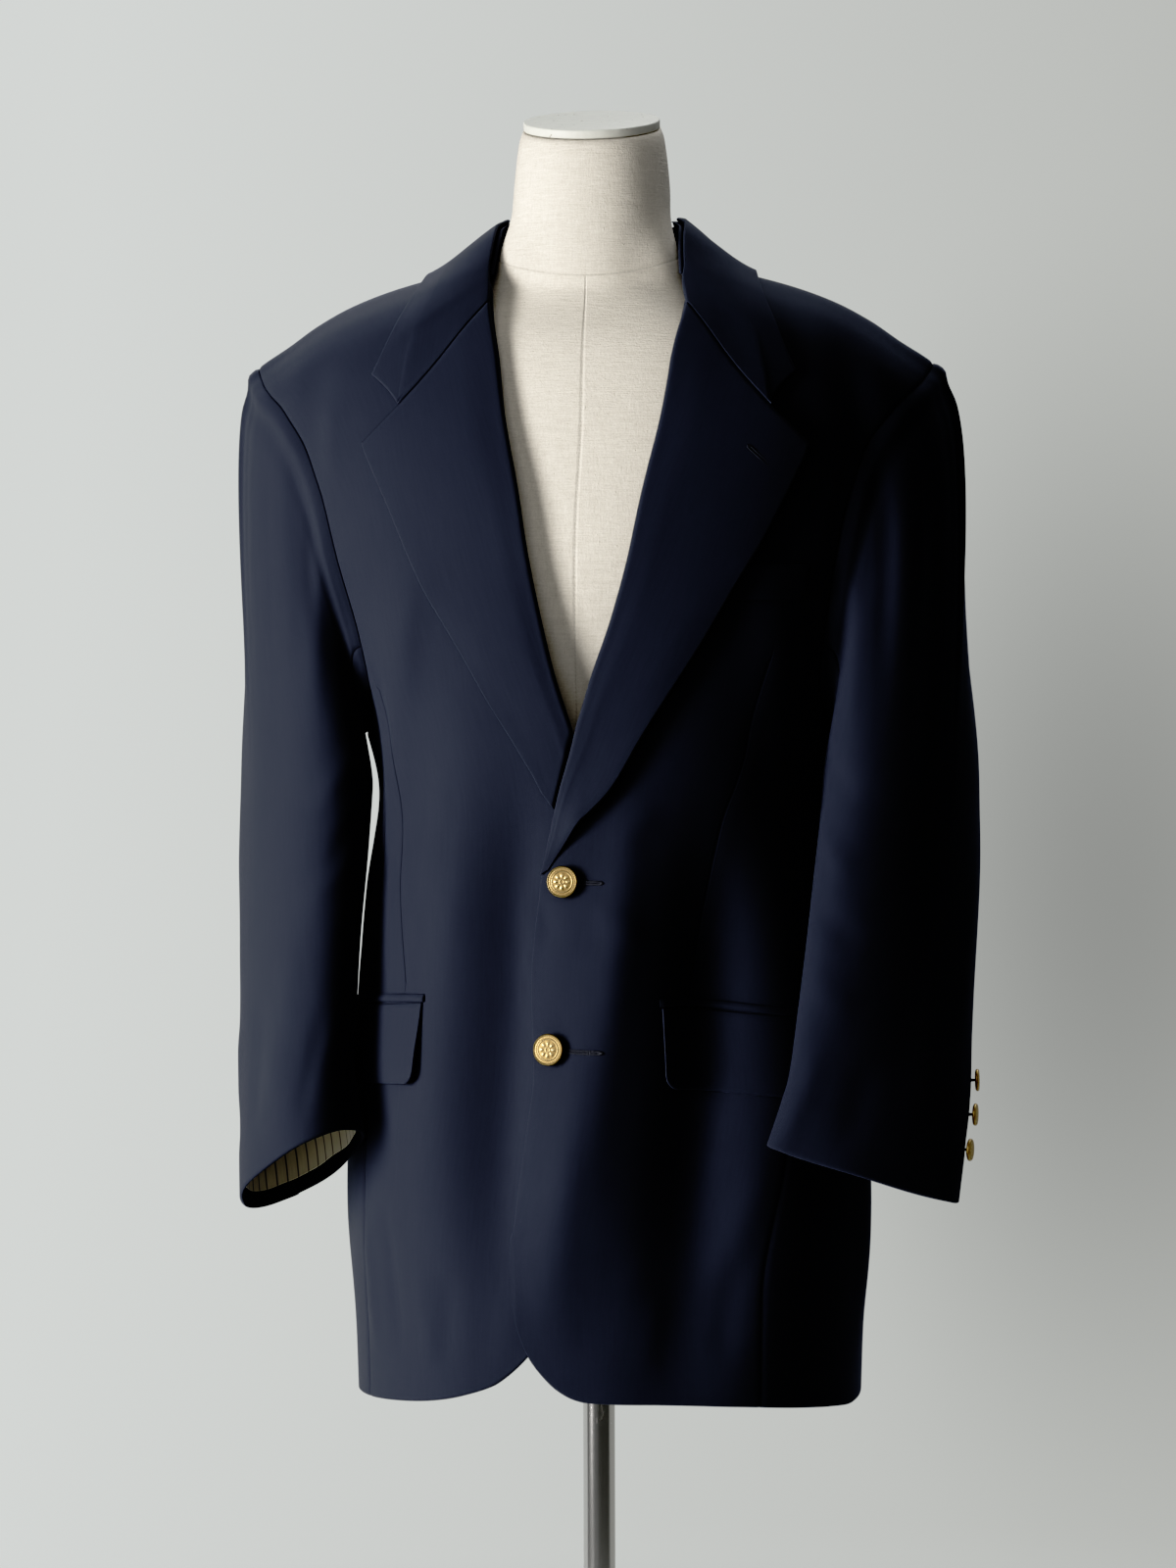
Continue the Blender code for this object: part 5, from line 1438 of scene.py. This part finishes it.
def flap_grid(side, across, down):
    """Turns and levels of a flap. Its lower edge rises by a quarter circle at both corners."""
    turn = FLAP_START[side] + FLAP_TURN * across
    slope = FLAP_SLOPE * FLAP_TURN * across
    inside = np.maximum(FLAP_CORNER - np.minimum(across, 1 - across) * FLAP_LENGTH, 0)
    corner = FLAP_CORNER - np.sqrt(np.maximum(FLAP_CORNER**2 - inside**2, 0))
    return side_sign(side) * turn, FLAP_TOP - slope - (FLAP_HEIGHT - corner) * down


def flap_lift(side, across, down):
    """A flap stands off a little more towards its lower edge, and most at its front corner."""
    flare = FLAP_FLARE[side] * ease(1 - across / 0.3) * ease(down)
    wave = 0.5 * np.sin(across * 9.0 + 1.0) * down
    return FLAP_LIFT + 0.9 * ease(down) + flare + wave


def make_jet(side):
    """A narrow folded strip over a flap's upper edge. From below: its hidden lower end, a half
    circle round the fold, and its flat face up to the seam."""
    share = np.linspace(-0.01, 1.01, 60)[None]
    turn = side_sign(side) * (FLAP_START[side] + FLAP_TURN * share)
    top = FLAP_TOP + 0.6 - FLAP_SLOPE * FLAP_TURN * share
    arch = 0.9 * np.sin(np.pi * np.clip(share * 1.6, 0, 1))
    bend = np.linspace(math.pi, 0, 7)[:-1]
    height = np.concatenate([[5.2], 1.0 - np.sin(bend), np.linspace(1, JET_HEIGHT, 5)])[:, None]
    rise = np.concatenate([[0.4], 1.4 + np.cos(bend), [2.4, 2.5, 2.4, 2.1, 1.6]])[:, None]
    turns, levels = np.broadcast_arrays(turn, top + arch + height)
    wool_piece("jet_" + side, lifted(turns, levels, rise * np.ones(turn.shape)),
               body_normal(turns, levels),
               {"first": "free", "last": "seam", "left": "seam", "right": "seam"},
               "folded", ["front_" + side])


def make_pockets():
    corner = np.linspace(0, 0.06, 14)
    across = np.concatenate([corner, np.linspace(0.06, 0.94, 40)[1:-1], 1 - corner[::-1]])[None]
    down = np.linspace(0, 1, 16)[:, None]
    for side in ("left", "right"):
        turns, levels = flap_grid(side, across, down)
        wool_piece("flap_" + side, lifted(turns, levels, flap_lift(side, across, down)),
                   body_normal(turns, levels),
                   {"left": "free", "right": "free", "last": "free", "first": "seam"},
                   "hung", ["front_" + side, "side_panel_" + side])
        make_jet(side)
    turns, levels = np.meshgrid(np.linspace(*WELT_TURN, 32),
                                WELT_LEVEL + np.linspace(0, WELT_HEIGHT, 9))
    wool_piece("chest_welt", lifted(turns, levels, np.full(turns.shape, WELT_LIFT)),
               body_normal(turns, levels),
               {"last": "free", "first": "seam", "left": "seam", "right": "seam"},
               "folded", ["front_left"])


make_pockets()

# %% [markdown]
# ## Turned pieces
#
# The cap, pole, socket and base come off a lathe, and so does a button's blank. One helper
# carries a profile of radii and heights round an axis. Where the profile meets the axis the ring
# becomes one point, so poles are closed, and a profile that doesn't meet it closes on itself.

# %% A profile carried round an axis
SHARP_ANGLE = math.radians(50)


def lathe(name, profile, sides, finish, place=(0, 0, 0), axis=(0, 0, 1), relief=None, mark=None,
          node=None):
    """Rings of radius times the cosine and sine of the angle, at their heights on the axis.
    relief(radius, angle) is added to the height, and mark is a mark's name and a function of
    the same two. A first radius of 0 makes the poles."""
    axis = unit(np.array(axis, float))
    helper = np.array([0, 0, 1.0]) if abs(axis[2]) < 0.9 else np.array([1.0, 0, 0])
    first = unit(np.cross(helper, axis))
    second = np.cross(axis, first)
    profile = np.array(profile, float)
    with_poles = profile[0, 0] == 0
    rings = profile[1:-1] if with_poles else profile
    angles = np.linspace(0, 2 * math.pi, sides, endpoint=False)[None]
    radius = np.broadcast_to(rings[:, :1], (len(rings), sides))
    height = np.broadcast_to(rings[:, 1:2], radius.shape)
    if relief:
        height = height + relief(rings[:, :1], angles)
    spokes = np.cos(angles)[..., None] * first + np.sin(angles)[..., None] * second
    verts = (np.array(place, float) + spokes * radius[..., None]
             + height[..., None] * axis).reshape(-1, 3)
    index = numbered((len(rings), sides))
    index = joined_round(index)
    if not with_poles:
        index = np.concatenate([index, index[:1]], axis=0)
    faces = quads(index).tolist()
    if with_poles:
        low, high = len(verts), len(verts) + 1
        verts = np.concatenate([verts, np.array(place) + axis * profile[[0, -1], 1:2]])
        faces += np.stack([np.full(sides, low), index[0, 1:], index[0, :-1]], -1).tolist()
        faces += np.stack([np.full(sides, high), index[-1, :-1], index[-1, 1:]], -1).tolist()
    marks = {}
    if mark:
        values = mark[1](radius, angles).ravel()
        marks = {mark[0]: np.concatenate([values, [values[0], values[-1]][:2 * with_poles]])}
    piece = fill_mesh(name, verts, faces, finish, marks=marks)
    piece.data.set_sharp_from_angle(angle=SHARP_ANGLE)
    belongs(piece, node)


def rounded(corners, radius, steps=5):
    """A profile with the corners between its first and last points rounded by quarter bends."""
    corners = np.array(corners, float)
    line = [corners[0]]
    for before, corner, after in zip(corners[:-2], corners[1:-1], corners[2:]):
        start = corner + unit(before - corner) * min(radius, np.linalg.norm(before - corner) / 2.2)
        end = corner + unit(after - corner) * min(radius, np.linalg.norm(after - corner) / 2.2)
        t = np.linspace(0, 1, steps)[:, None]
        line.extend((1 - t)**2 * start + 2 * (1 - t) * t * corner + t**2 * end)
    return np.array(line + [corners[-1]])


# %% [markdown]
# ## Buttons and buttonholes
#
# The blazer's buttons are pale brass blanks with a low relief and hang on a shank of thread.
# The relief here is a plain generic one: a raised rim with beads, two rings and a rosette of
# eight petals. It is a height over radius and angle, so no part of it needs its own mesh.

# %% The relief of a button
BUTTON_RADIUS = 10.8
BACK_HEIGHTS = {"front": 3.4, "cuff": 3.0}   # the shank holds a blank this far off the cloth
RIM_POINTS = 5                               # profile points before the relief begins


def button_profile(radius, back):
    """From the back's middle out to the rim and over the domed face to its middle."""
    behind = [(0, back), (radius * 0.5, back), (radius * 0.86, back),
              (radius * 0.95, back + 0.35), (radius, back + 1.0), (radius * 0.995, back + 1.5)]
    shares = np.linspace(0.97, 0.02, 42)
    dome = back + 1.9 + 0.7 * (1 - shares**2)
    return np.array(behind + list(zip(radius * shares, dome)) + [(0, back + 2.6)])


def face_relief(share, angle):
    """Rim, beads, rings and petals, as bell curves of the radius times waves of the angle."""
    rim = 0.55 * bell(share - 0.93, 0.045)
    beads = 0.30 * bell(share - 0.80, 0.035) * (0.5 + 0.5 * np.cos(36 * angle))
    inner_ring = 0.34 * bell(share - 0.66, 0.028)
    petals = 0.42 * bell(share - 0.38, 0.13) * np.cos(4 * angle) ** 2
    small_ring = 0.26 * bell(share - 0.14, 0.035)
    return rim + beads + inner_ring + petals + small_ring


def make_button(name, place, facing, radius):
    back = BACK_HEIGHTS[name.split("_")[0]]
    profile = button_profile(radius, back)
    front = (np.arange(len(profile) - 2) >= RIM_POINTS)[:, None]

    def relief(rings, angles):
        return face_relief(rings / radius, angles) * front * radius / BUTTON_RADIUS

    def relief_mark(rings, angles):
        return face_relief(rings / radius, angles) * 2.2 * front + 0.1

    lathe(name + "_brass", profile, 72, BRASS, place, facing, relief, ("relief", relief_mark),
          node=name)
    top = back + 0.3
    shank = ((0, -0.6), (radius * 0.16, -0.6), (radius * 0.13, 1.2), (radius * 0.12, 2.4),
             (radius * 0.16, top), (0, top))
    lathe(name + "_shank", shank, 14, THREAD, place, facing)


# %% All eight buttons
FRONT_BUTTONS = (("front_button_upper", -3.8, 1031.8), ("front_button_lower", -6.4, 918.7))
CUFF_BUTTON_RADIUS = 7.6
CUFF_BUTTON_HEIGHTS = (28.0, 47.0, 66.0)
CUFF_BUTTON_ANGLE = 24               # degrees round the arm from the back seam
COARSE_UNDERARM = np.array([0.18, 0.34, 0.5, 0.66, 0.82])


def coarse_seam_angle(side):
    """The back seam's angle in the frame, whose armhole has fewer points. The frame's cuff
    buttons are measured from it."""
    loop = body_point(*armhole_loop(side, ARMHOLE_KNOTS, COARSE_UNDERARM))
    angles = angles_along(loop)
    return angles[nearest(angles, BACK_SEAM_ANGLE)]


def make_buttons():
    for name, turn, level in FRONT_BUTTONS:
        make_button(name, body_point(turn, level), body_normal(turn, level), BUTTON_RADIUS)
    for side in ("left", "right"):
        angle = coarse_seam_angle(side) + CUFF_BUTTON_ANGLE
        around = np.array([angle - 3, angle, angle + 3])
        for number, above in enumerate(CUFF_BUTTON_HEIGHTS, 1):
            height = SLEEVES[side][0][0] + above
            rings = sleeve_rings(side, [height, height + 4], around)
            facing = unit(np.cross(rings[0, 2] - rings[0, 0], rings[1, 1] - rings[0, 1]))
            middle = sleeve_rings(side, [height], np.linspace(0, 330, 12))[0].mean(axis=0)
            facing = facing * np.sign(np.dot(facing, rings[0, 1] - middle))
            make_button("cuff_button_%s_%d" % (side, number), rings[0, 1], facing,
                        CUFF_BUTTON_RADIUS)
    print("buttons:", sum(name.endswith("_brass") for name in made_pieces))


make_buttons()

# %% Buttonholes
HOLE_COLUMNS = ("name", "start", "end", "above")     # turn and level, and height off the body
HOLE_HALF_WIDTH, HOLE_THICKNESS = 1.7, 0.5
BUTTONHOLES = (
    ("buttonhole_upper", (-4.4, 1031.8), (2.1, 1031.2), 0.35),
    ("buttonhole_lower", (-7.0, 918.7), (1.3, 917.6), 0.35),
    ("buttonhole_lapel", (26.8, 1331.0), (33.0, 1314.0), 8.9),
)


def make_buttonhole(name, start, end, above):
    """A stitched slit: two rows of tight thread, a ridge over each side of the middle line that
    closes round both ends."""
    along = np.linspace(-0.06, 1.06, 60)[None]
    across = np.linspace(-1, 1, 17)[:, None]
    half = HOLE_HALF_WIDTH * np.sqrt(np.clip(1 - (np.abs(along - 0.5) / 0.56) ** 12, 0.02, 1))
    turn = start[0] + (end[0] - start[0]) * along
    level = start[1] + (end[1] - start[1]) * along
    tilt = math.atan2(end[1] - start[1], (end[0] - start[0]) * ROUND_SCALE)
    turn = turn - across * half * math.sin(tilt) / ROUND_SCALE
    level = level + across * half * math.cos(tilt)
    open_part = ease((0.5 - np.abs(along - 0.5)) / 0.04)
    slit = 0.55 * bell(across, 0.22) * open_part
    ridge = 0.6 * np.sqrt(np.clip(1 - across**2, 0, 1)) - slit
    lift = above + ridge - 0.45 * (np.abs(across) > 0.99)
    points = lifted(turn, level, lift, small=above < 2)
    outward = body_normal(*np.broadcast_arrays(turn, level))
    verts, faces, sides = wall(points, outward, HOLE_THICKNESS)
    middle = points[len(points) // 2]
    length = np.linalg.norm(middle[-1] - middle[0])
    uv = np.stack(np.broadcast_arrays(along * length, across * HOLE_HALF_WIDTH), -1)
    padded = np.pad(uv, sides, mode="edge").reshape(-1, 2)
    piece = fill_mesh(name, verts, faces, THREAD, np.concatenate([padded, uv.reshape(-1, 2)]))
    belongs(piece)
    print(name, "%.1f mm long" % length)


for row in BUTTONHOLES:
    make_buttonhole(**dict(zip(HOLE_COLUMNS, row)))

# %% [markdown]
# ## The dress form
#
# The torso is a padded shape under a tight linen cover, sewn with upright seams and one round
# the neck. It is smooth, so it is a lofted surface through rings. The seams are marks that the
# linen's material reads: two numbers that pass through 0 on a seam and grow away from it.

# %% The form's rings
FORM_COLUMNS = ("level", "half_width", "front", "back", "tilt")
FORM_RINGS = (
    (822, 150, 110, 112, 0), (840, 159, 118, 120, 0), (890, 157, 115, 114, 0),
    (960, 146, 106, 98, 0), (1040, 132, 97, 84, 0), (1110, 142, 106, 90, 0),
    (1170, 152, 118, 98, 0), (1220, 158, 121, 104, 0), (1300, 170, 115, 110, 0),
    (1365, 168, 104, 104, 0), (1403, 146, 90, 90, 0), (1423, 107, 74, 68, 1),
    (1440, 75, 63, 50, 3), (1463, 59.5, 58.5, 48, 20), (1485, 57, 55.5, 56, 19),
    (1513, 55, 53.5, 54, 17), (1546, 51, 50, 50.5, 15.5), (1553, 48.5, 48, 48, 15),
)
FORM_EXPONENT = 2.15
NECK_SEAM_LEVEL, NECK_SEAM_RISE = 1466.5, 3.2
# The neck's foot swells out at both sides of the front, more on the right: the rise, its
# level and reach, and its angle from the front and reach.
FLARE_RISE, FLARE_SIDES = 8.0, {"right": 1.55, "left": 1.35}
FLARE_LEVEL, FLARE_HEIGHT, FLARE_ANGLE, FLARE_WIDTH, FLARE_END = 1466, 22, 62, 20, 92
# Behind that it is drawn in, clear of the collar's stand.
NIP_DEPTH, NIP_LEVEL, NIP_HEIGHT, NIP_ANGLE, NIP_WIDTH = 1.3, 1488, 15, 78, 14
SMOOTH_BELOW, SMOOTH_FADE, FORM_SMOOTHINGS = 1500, 20, 20
# how many degrees the front seam wanders, by level
FRONT_SEAM_DRIFT = ((1200, -0.9), (1260, -0.8), (1352, 0.2), (1480, 0.2), (1560, 0.2))


def form_points(levels, angles):
    """Superellipse rings, tilted up towards the back at the neck."""
    levels = np.asarray(levels, float)[:, None]
    a = np.asarray(angles)[None]

    def value(name):
        return column(FORM_RINGS, FORM_COLUMNS, name, levels)

    power = 2 / FORM_EXPONENT
    x = COLLAR_CENTRE + value("half_width") * np.sign(np.sin(a)) * np.abs(np.sin(a)) ** power
    depth = np.where(np.cos(a) > 0, value("front"), value("back"))
    y = -depth * np.sign(np.cos(a)) * np.abs(np.cos(a)) ** power
    z = levels + y * np.tan(np.radians(value("tilt")))
    y = y + RIDGE_Y * ease((1480 - levels) / 60)
    return np.stack([x, y, z], -1)


def neck_swell(levels, angles):
    """How far the form's neck stands out from its rings: bell curves of the level times bell
    curves of the angle from the front, which is negative on the right."""
    levels = levels[:, None]
    around = np.degrees((angles + np.pi) % (2 * np.pi) - np.pi)
    from_front = np.abs(around)
    beside = bell(from_front - FLARE_ANGLE, FLARE_WIDTH)
    beside = beside * ease((FLARE_END - from_front) / FLARE_WIDTH)
    flare = FLARE_RISE * bell(levels - FLARE_LEVEL, FLARE_HEIGHT)
    flare = flare * beside * np.where(around < 0, FLARE_SIDES["right"], FLARE_SIDES["left"])
    nip = NIP_DEPTH * bell(levels - NIP_LEVEL, NIP_HEIGHT)
    return flare - nip * ease((from_front - NIP_ANGLE) / NIP_WIDTH)


def make_form():
    """The rings, swollen and then smoothed up and down, with its rounded ends."""
    low, high = FORM_RINGS[0][0], FORM_RINGS[-1][0]
    levels = np.concatenate([np.arange(low, 1400, 6.0), np.arange(1400, high + 1, 3.0)])
    angles = np.linspace(0, 2 * np.pi, 160, endpoint=False)
    points = form_points(levels, angles)
    swell = neck_swell(levels, angles)
    points[..., 0] += swell * np.sin(angles)
    points[..., 1] -= swell * np.cos(angles)
    soft = ease((SMOOTH_BELOW - levels[1:-1]) / SMOOTH_FADE)[:, None, None]
    for _ in range(FORM_SMOOTHINGS):
        points[1:-1] += (points[:-2] + points[2:] - 2 * points[1:-1]) * 0.25 * soft
    middles = [points[[end]].mean(axis=1, keepdims=True) for end in (0, -1)]
    rings = [middles[0] + (points[:1] - middles[0]) * share for share in (0.02, 0.5, 0.9, 0.985)]
    ends = [middles[1] + (points[-1:] - middles[1]) * share for share in (0.985, 0.6, 0.02)]
    whole = np.concatenate(rings + [points] + ends)
    index = numbered(whole.shape[:2])
    index = joined_round(index)
    faces = quads(index).tolist()
    faces += [index[0, :-1][::-1].tolist(), index[-1, :-1].tolist()]
    end_levels = [low - 7] * len(rings), [high + 3] * len(ends)
    all_levels = np.concatenate([end_levels[0], levels, end_levels[1]])[:, None]
    drift = smooth(FRONT_SEAM_DRIFT, all_levels) * (np.cos(angles) > 0)
    offset = angles[None] - np.radians(drift)
    upright = np.hypot(points[..., 0].max(), 60) * 0.45 * np.sin(2 * offset)
    neck = all_levels - NECK_SEAM_LEVEL - NECK_SEAM_RISE * (1 - np.cos(angles))[None]
    on_neck_front = (neck > 0) * (np.cos(angles) > 0)[None]
    upright = np.where(on_neck_front, FAR, upright)
    marks = {"upright_seam": upright.ravel(), "neck_seam": neck.ravel()}
    piece = fill_mesh("form_cover", whole.reshape(-1, 3), faces, LINEN, marks=marks)
    belongs(piece, "form_torso")
    print("form cover:", len(faces), "faces")
    return points[-1].mean(axis=0)


neck_top = make_form()

# %% Cap, pole, socket and base
CAP_RADIUS, CAP_THICKNESS, CAP_TILT = 48.2, 6.2, math.radians(15)
POLE_RADIUS, BASE_RADIUS, BASE_THICKNESS = 11.5, 180.0, 12.0
SOCKET_RADIUS, SOCKET_HEIGHT = 20.0, 45.0
NODE_GAP, RIM_START = 0.3, 36


def cap_rim(radius, angles):
    """1 near the cap's rim, where its paint chips, and 0 inside."""
    return ease((radius - RIM_START) / 8)


def disc_profile(radius, low, high, bend):
    """A plain disc or rod, from the middle of its underside to the middle of its top."""
    return rounded(((0, low), (radius, low), (radius, high), (0, high)), bend)


def make_stand():
    up = np.array([0, -math.sin(CAP_TILT), math.cos(CAP_TILT)])
    lathe("cap_disc", disc_profile(CAP_RADIUS, 0, CAP_THICKNESS, 1.3), 128, CAP_PAINT,
          neck_top + up * 0.6, up, mark=("rim", cap_rim), node="neck_cap")
    foot, top = BASE_THICKNESS + NODE_GAP, FORM_RINGS[0][0] - NODE_GAP
    lathe("pole_tube", disc_profile(POLE_RADIUS, foot, top, 0.6), 64, CHROME,
          node="pole")
    inner, outer, neck = POLE_RADIUS + NODE_GAP, SOCKET_RADIUS, SOCKET_RADIUS - 4
    high = BASE_THICKNESS + SOCKET_HEIGHT
    ring_profile = rounded(((inner, foot), (outer, foot), (outer, foot + 8), (neck, foot + 11),
                            (neck, high), (inner, high), (inner, foot + 1)), 1.2)
    lathe("socket_ring", ring_profile, 64, CHROME, node="pole_socket")
    r, h = BASE_RADIUS, BASE_THICKNESS
    base_profile = rounded(((0, 0), (r, 0), (r, h), (r * 0.5, h), (0, h)), 2.5)
    lathe("base_disc", base_profile, 160, STEEL, node="base_plate")


make_stand()
print("pieces made:", len(made_pieces))

# %% [markdown]
# ## Camera
#
# The photograph was taken from about 2.6 m, a little to the wearer's left and a little above,
# with a short telephoto view. These numbers were found by laying the frame over it.

# %% The camera
DISTANCE, AZIMUTH, ELEVATION, ROLL = 2.6, math.radians(5.0), math.radians(3.5), math.radians(-0.2)
TARGET_HEIGHT, SIDE_STEP = 1.09, 0.0063
SENSOR_HEIGHT, FOCAL_LENGTH = 36.0, 83.571

back = np.array([math.sin(AZIMUTH) * math.cos(ELEVATION), -math.cos(AZIMUTH) * math.cos(ELEVATION),
                 math.sin(ELEVATION)])
level_right = unit(np.cross(-back, [0, 0, 1.0]))
level_up = np.cross(level_right, -back)
right = math.cos(ROLL) * level_right + math.sin(ROLL) * level_up
up = math.cos(ROLL) * level_up - math.sin(ROLL) * level_right
lens = bpy.data.cameras.new("studio_camera")
lens.sensor_fit, lens.sensor_height, lens.lens = "VERTICAL", SENSOR_HEIGHT, FOCAL_LENGTH
lens.clip_end = 60.0
camera = bpy.data.objects.new("studio_camera", lens)
bpy.context.scene.collection.objects.link(camera)
place = np.array([0, 0, TARGET_HEIGHT]) - level_right * SIDE_STEP + back * DISTANCE
axes = Matrix((right, up, back)).transposed().to_4x4()
camera.matrix_world = Matrix.Translation(Vector(place)) @ axes
bpy.context.scene.camera = camera
print("camera at", np.round(place, 3))

# %% [markdown]
# ## Light and background
#
# One big soft window light stands to the photograph's left, so the linen fades from bright to
# dim across the neck and the navy keeps only a soft edge of light. A pale wall fills the
# background. It is the world itself, with painted light and shade: brighter to the left, towards
# the window, than to the right, and with a painted shadow low on the dim side. It is seen by the
# camera and in the metal, while the cloth gets only a dim even share of it.

# %% Window light, fill and floor
def area_light(name, azimuth, elevation, distance, size, power, colour, aim=(0, 0, 1.1)):
    """A soft rectangle at an azimuth round the object, from the camera's side, aimed at it."""
    a, e = math.radians(azimuth), math.radians(elevation)
    offset = Vector((math.sin(a) * math.cos(e), -math.cos(a) * math.cos(e), math.sin(e)))
    data = bpy.data.lights.new(name, "AREA")
    data.shape, data.size, data.size_y = "RECTANGLE", *size
    data.energy, data.color = power, colour
    lamp = bpy.data.objects.new(name, data)
    lamp.location = Vector(aim) + offset * distance
    lamp.rotation_euler = offset.to_track_quat("Z", "Y").to_euler()
    bpy.context.scene.collection.objects.link(lamp)


area_light("window", azimuth=-50, elevation=4, distance=2.4, size=(0.78, 1.3), power=80,
           colour=(1.0, 0.985, 0.965), aim=(0, 0, 1.0))
area_light("room_fill", azimuth=-4, elevation=22, distance=4.0, size=(3.0, 2.4), power=34,
           colour=(1.0, 0.99, 0.97))
area_light("back_fill", azimuth=160, elevation=60, distance=4.0, size=(2.5, 2.5), power=90,
           colour=(0.96, 0.98, 1.0))

FLOOR_RADIUS, FLOOR_FADE = 2.4, (2.2, 0.8)     # in metres
FLOOR_DROP = 0.2                               # millimetres below the base


def make_floor():
    """A pale disc that fades out with the distance from the object."""
    look = Look("pale_floor", Roughness=0.9, Base_Color=(0.62, 0.63, 0.62, 1))
    x, y = look.parts(look.place())[:2]
    radius = (x * x + y * y) ** 0.5
    grain = look.noise(look.place(), 14, 3.0, 0.6)
    look.feed(Base_Color=look.shade(look.mix(0.5, (0.60, 0.61, 0.60), (0.64, 0.65, 0.64)),
                                    0.96 + grain * 0.08),
              Alpha=radius.between(*FLOOR_FADE))
    sides, rings = 96, 24
    angles = np.linspace(0, 2 * math.pi, sides, endpoint=False)
    radii = np.linspace(0.02, FLOOR_RADIUS, rings)[:, None] / MM
    grid = np.stack([radii * np.cos(angles), radii * np.sin(angles), 0 * radii * angles], -1)
    index = numbered((rings, sides))
    index = joined_round(index)
    faces = quads(index)[:, ::-1].tolist() + [index[0, :-1].tolist()]
    fill_mesh("floor", grid.reshape(-1, 3) - [0, 0, FLOOR_DROP], faces, look.material)


make_floor()

# %% The wall's tone and the picture's tone curve
# The wall's colour is painted light: bright towards the window on the left and dim to the right.
WALL_BRIGHT, WALL_DIM, AMBIENT = (0.615, 0.635, 0.62), (0.36, 0.365, 0.345), 0.07
WALL_SLOPE, WALL_TILT = 2.2, -0.12                # how fast it dims to the right, and upwards
WALL_SHADOW_PLACE, WALL_SHADOW_SIZE = (0.055, -0.09), (0.11, 0.2)
WALL_SHADOW_DEPTH = 0.42                                # a painted shadow, a soft dim patch low on the dim side
ROOM_DIM, ROOM_EDGE = 0.82, (0.05, -0.15)         # reflections of the room behind the camera


def make_world():
    """The background colour changes with the direction that is looked in: painted light that
    dims from left to right, and a painted shadow low on the dim side. Rays that light the cloth
    get a dim share of it, and so do reflections of the room."""
    world = bpy.data.worlds.new("pale_wall")
    bpy.context.scene.world = world
    world.use_nodes = True
    tree = world.node_tree
    sky = tree.nodes["Background"]
    look = Look.__new__(Look)
    look.tree = tree
    x, y, z = look.parts(look.node("ShaderNodeTexCoord", out="Generated"))
    # Painted light: the wall dims from left to right, and a little upwards.
    across = (x * WALL_SLOPE + z * WALL_TILT + 0.5).most(0.0).least(1.0)
    side = (x - WALL_SHADOW_PLACE[0]) / WALL_SHADOW_SIZE[0]
    height = (z - WALL_SHADOW_PLACE[1]) / WALL_SHADOW_SIZE[1]
    # The painted shadow on the wall: a soft round patch that dims the colour.
    shade = ((side * side + height * height) ** 0.5).between(1.0, 0.0)
    colour = look.shade(look.mix(across, WALL_BRIGHT, WALL_DIM), 1 - shade * WALL_SHADOW_DEPTH)
    dull = look.node("ShaderNodeLightPath", out="Is Diffuse Ray")
    shiny = look.node("ShaderNodeLightPath", out="Is Glossy Ray")
    room = y.between(*ROOM_EDGE) * shiny
    strength = (dull * (AMBIENT - 1) + 1) * (1 - room * ROOM_DIM)
    tree.links.new(colour.socket, sky.inputs["Color"])
    tree.links.new(strength.socket, sky.inputs["Strength"])


make_world()

# Scene light in, picture light out: a camera's curve, which deepens the darkest tones.
TONE_CURVE = ((0, 0), (0.010, 0.0004), (0.020, 0.0014), (0.028, 0.0034), (0.036, 0.0082),
              (0.046, 0.020), (0.058, 0.040), (0.075, 0.069), (0.13, 0.135), (0.3, 0.33),
              (0.6, 0.64), (0.85, 0.84), (1, 0.93))


def set_tone_curve():
    settings = bpy.context.scene.view_settings
    settings.view_transform = "Standard"
    settings.use_curve_mapping = True
    curve = settings.curve_mapping.curves[3]
    for place, value in TONE_CURVE[1:-1]:
        curve.points.new(place, value)
    curve.points[0].location, curve.points[-1].location = TONE_CURVE[0], TONE_CURVE[-1]
    settings.curve_mapping.update()
    print("tone curve points:", len(curve.points))


set_tone_curve()
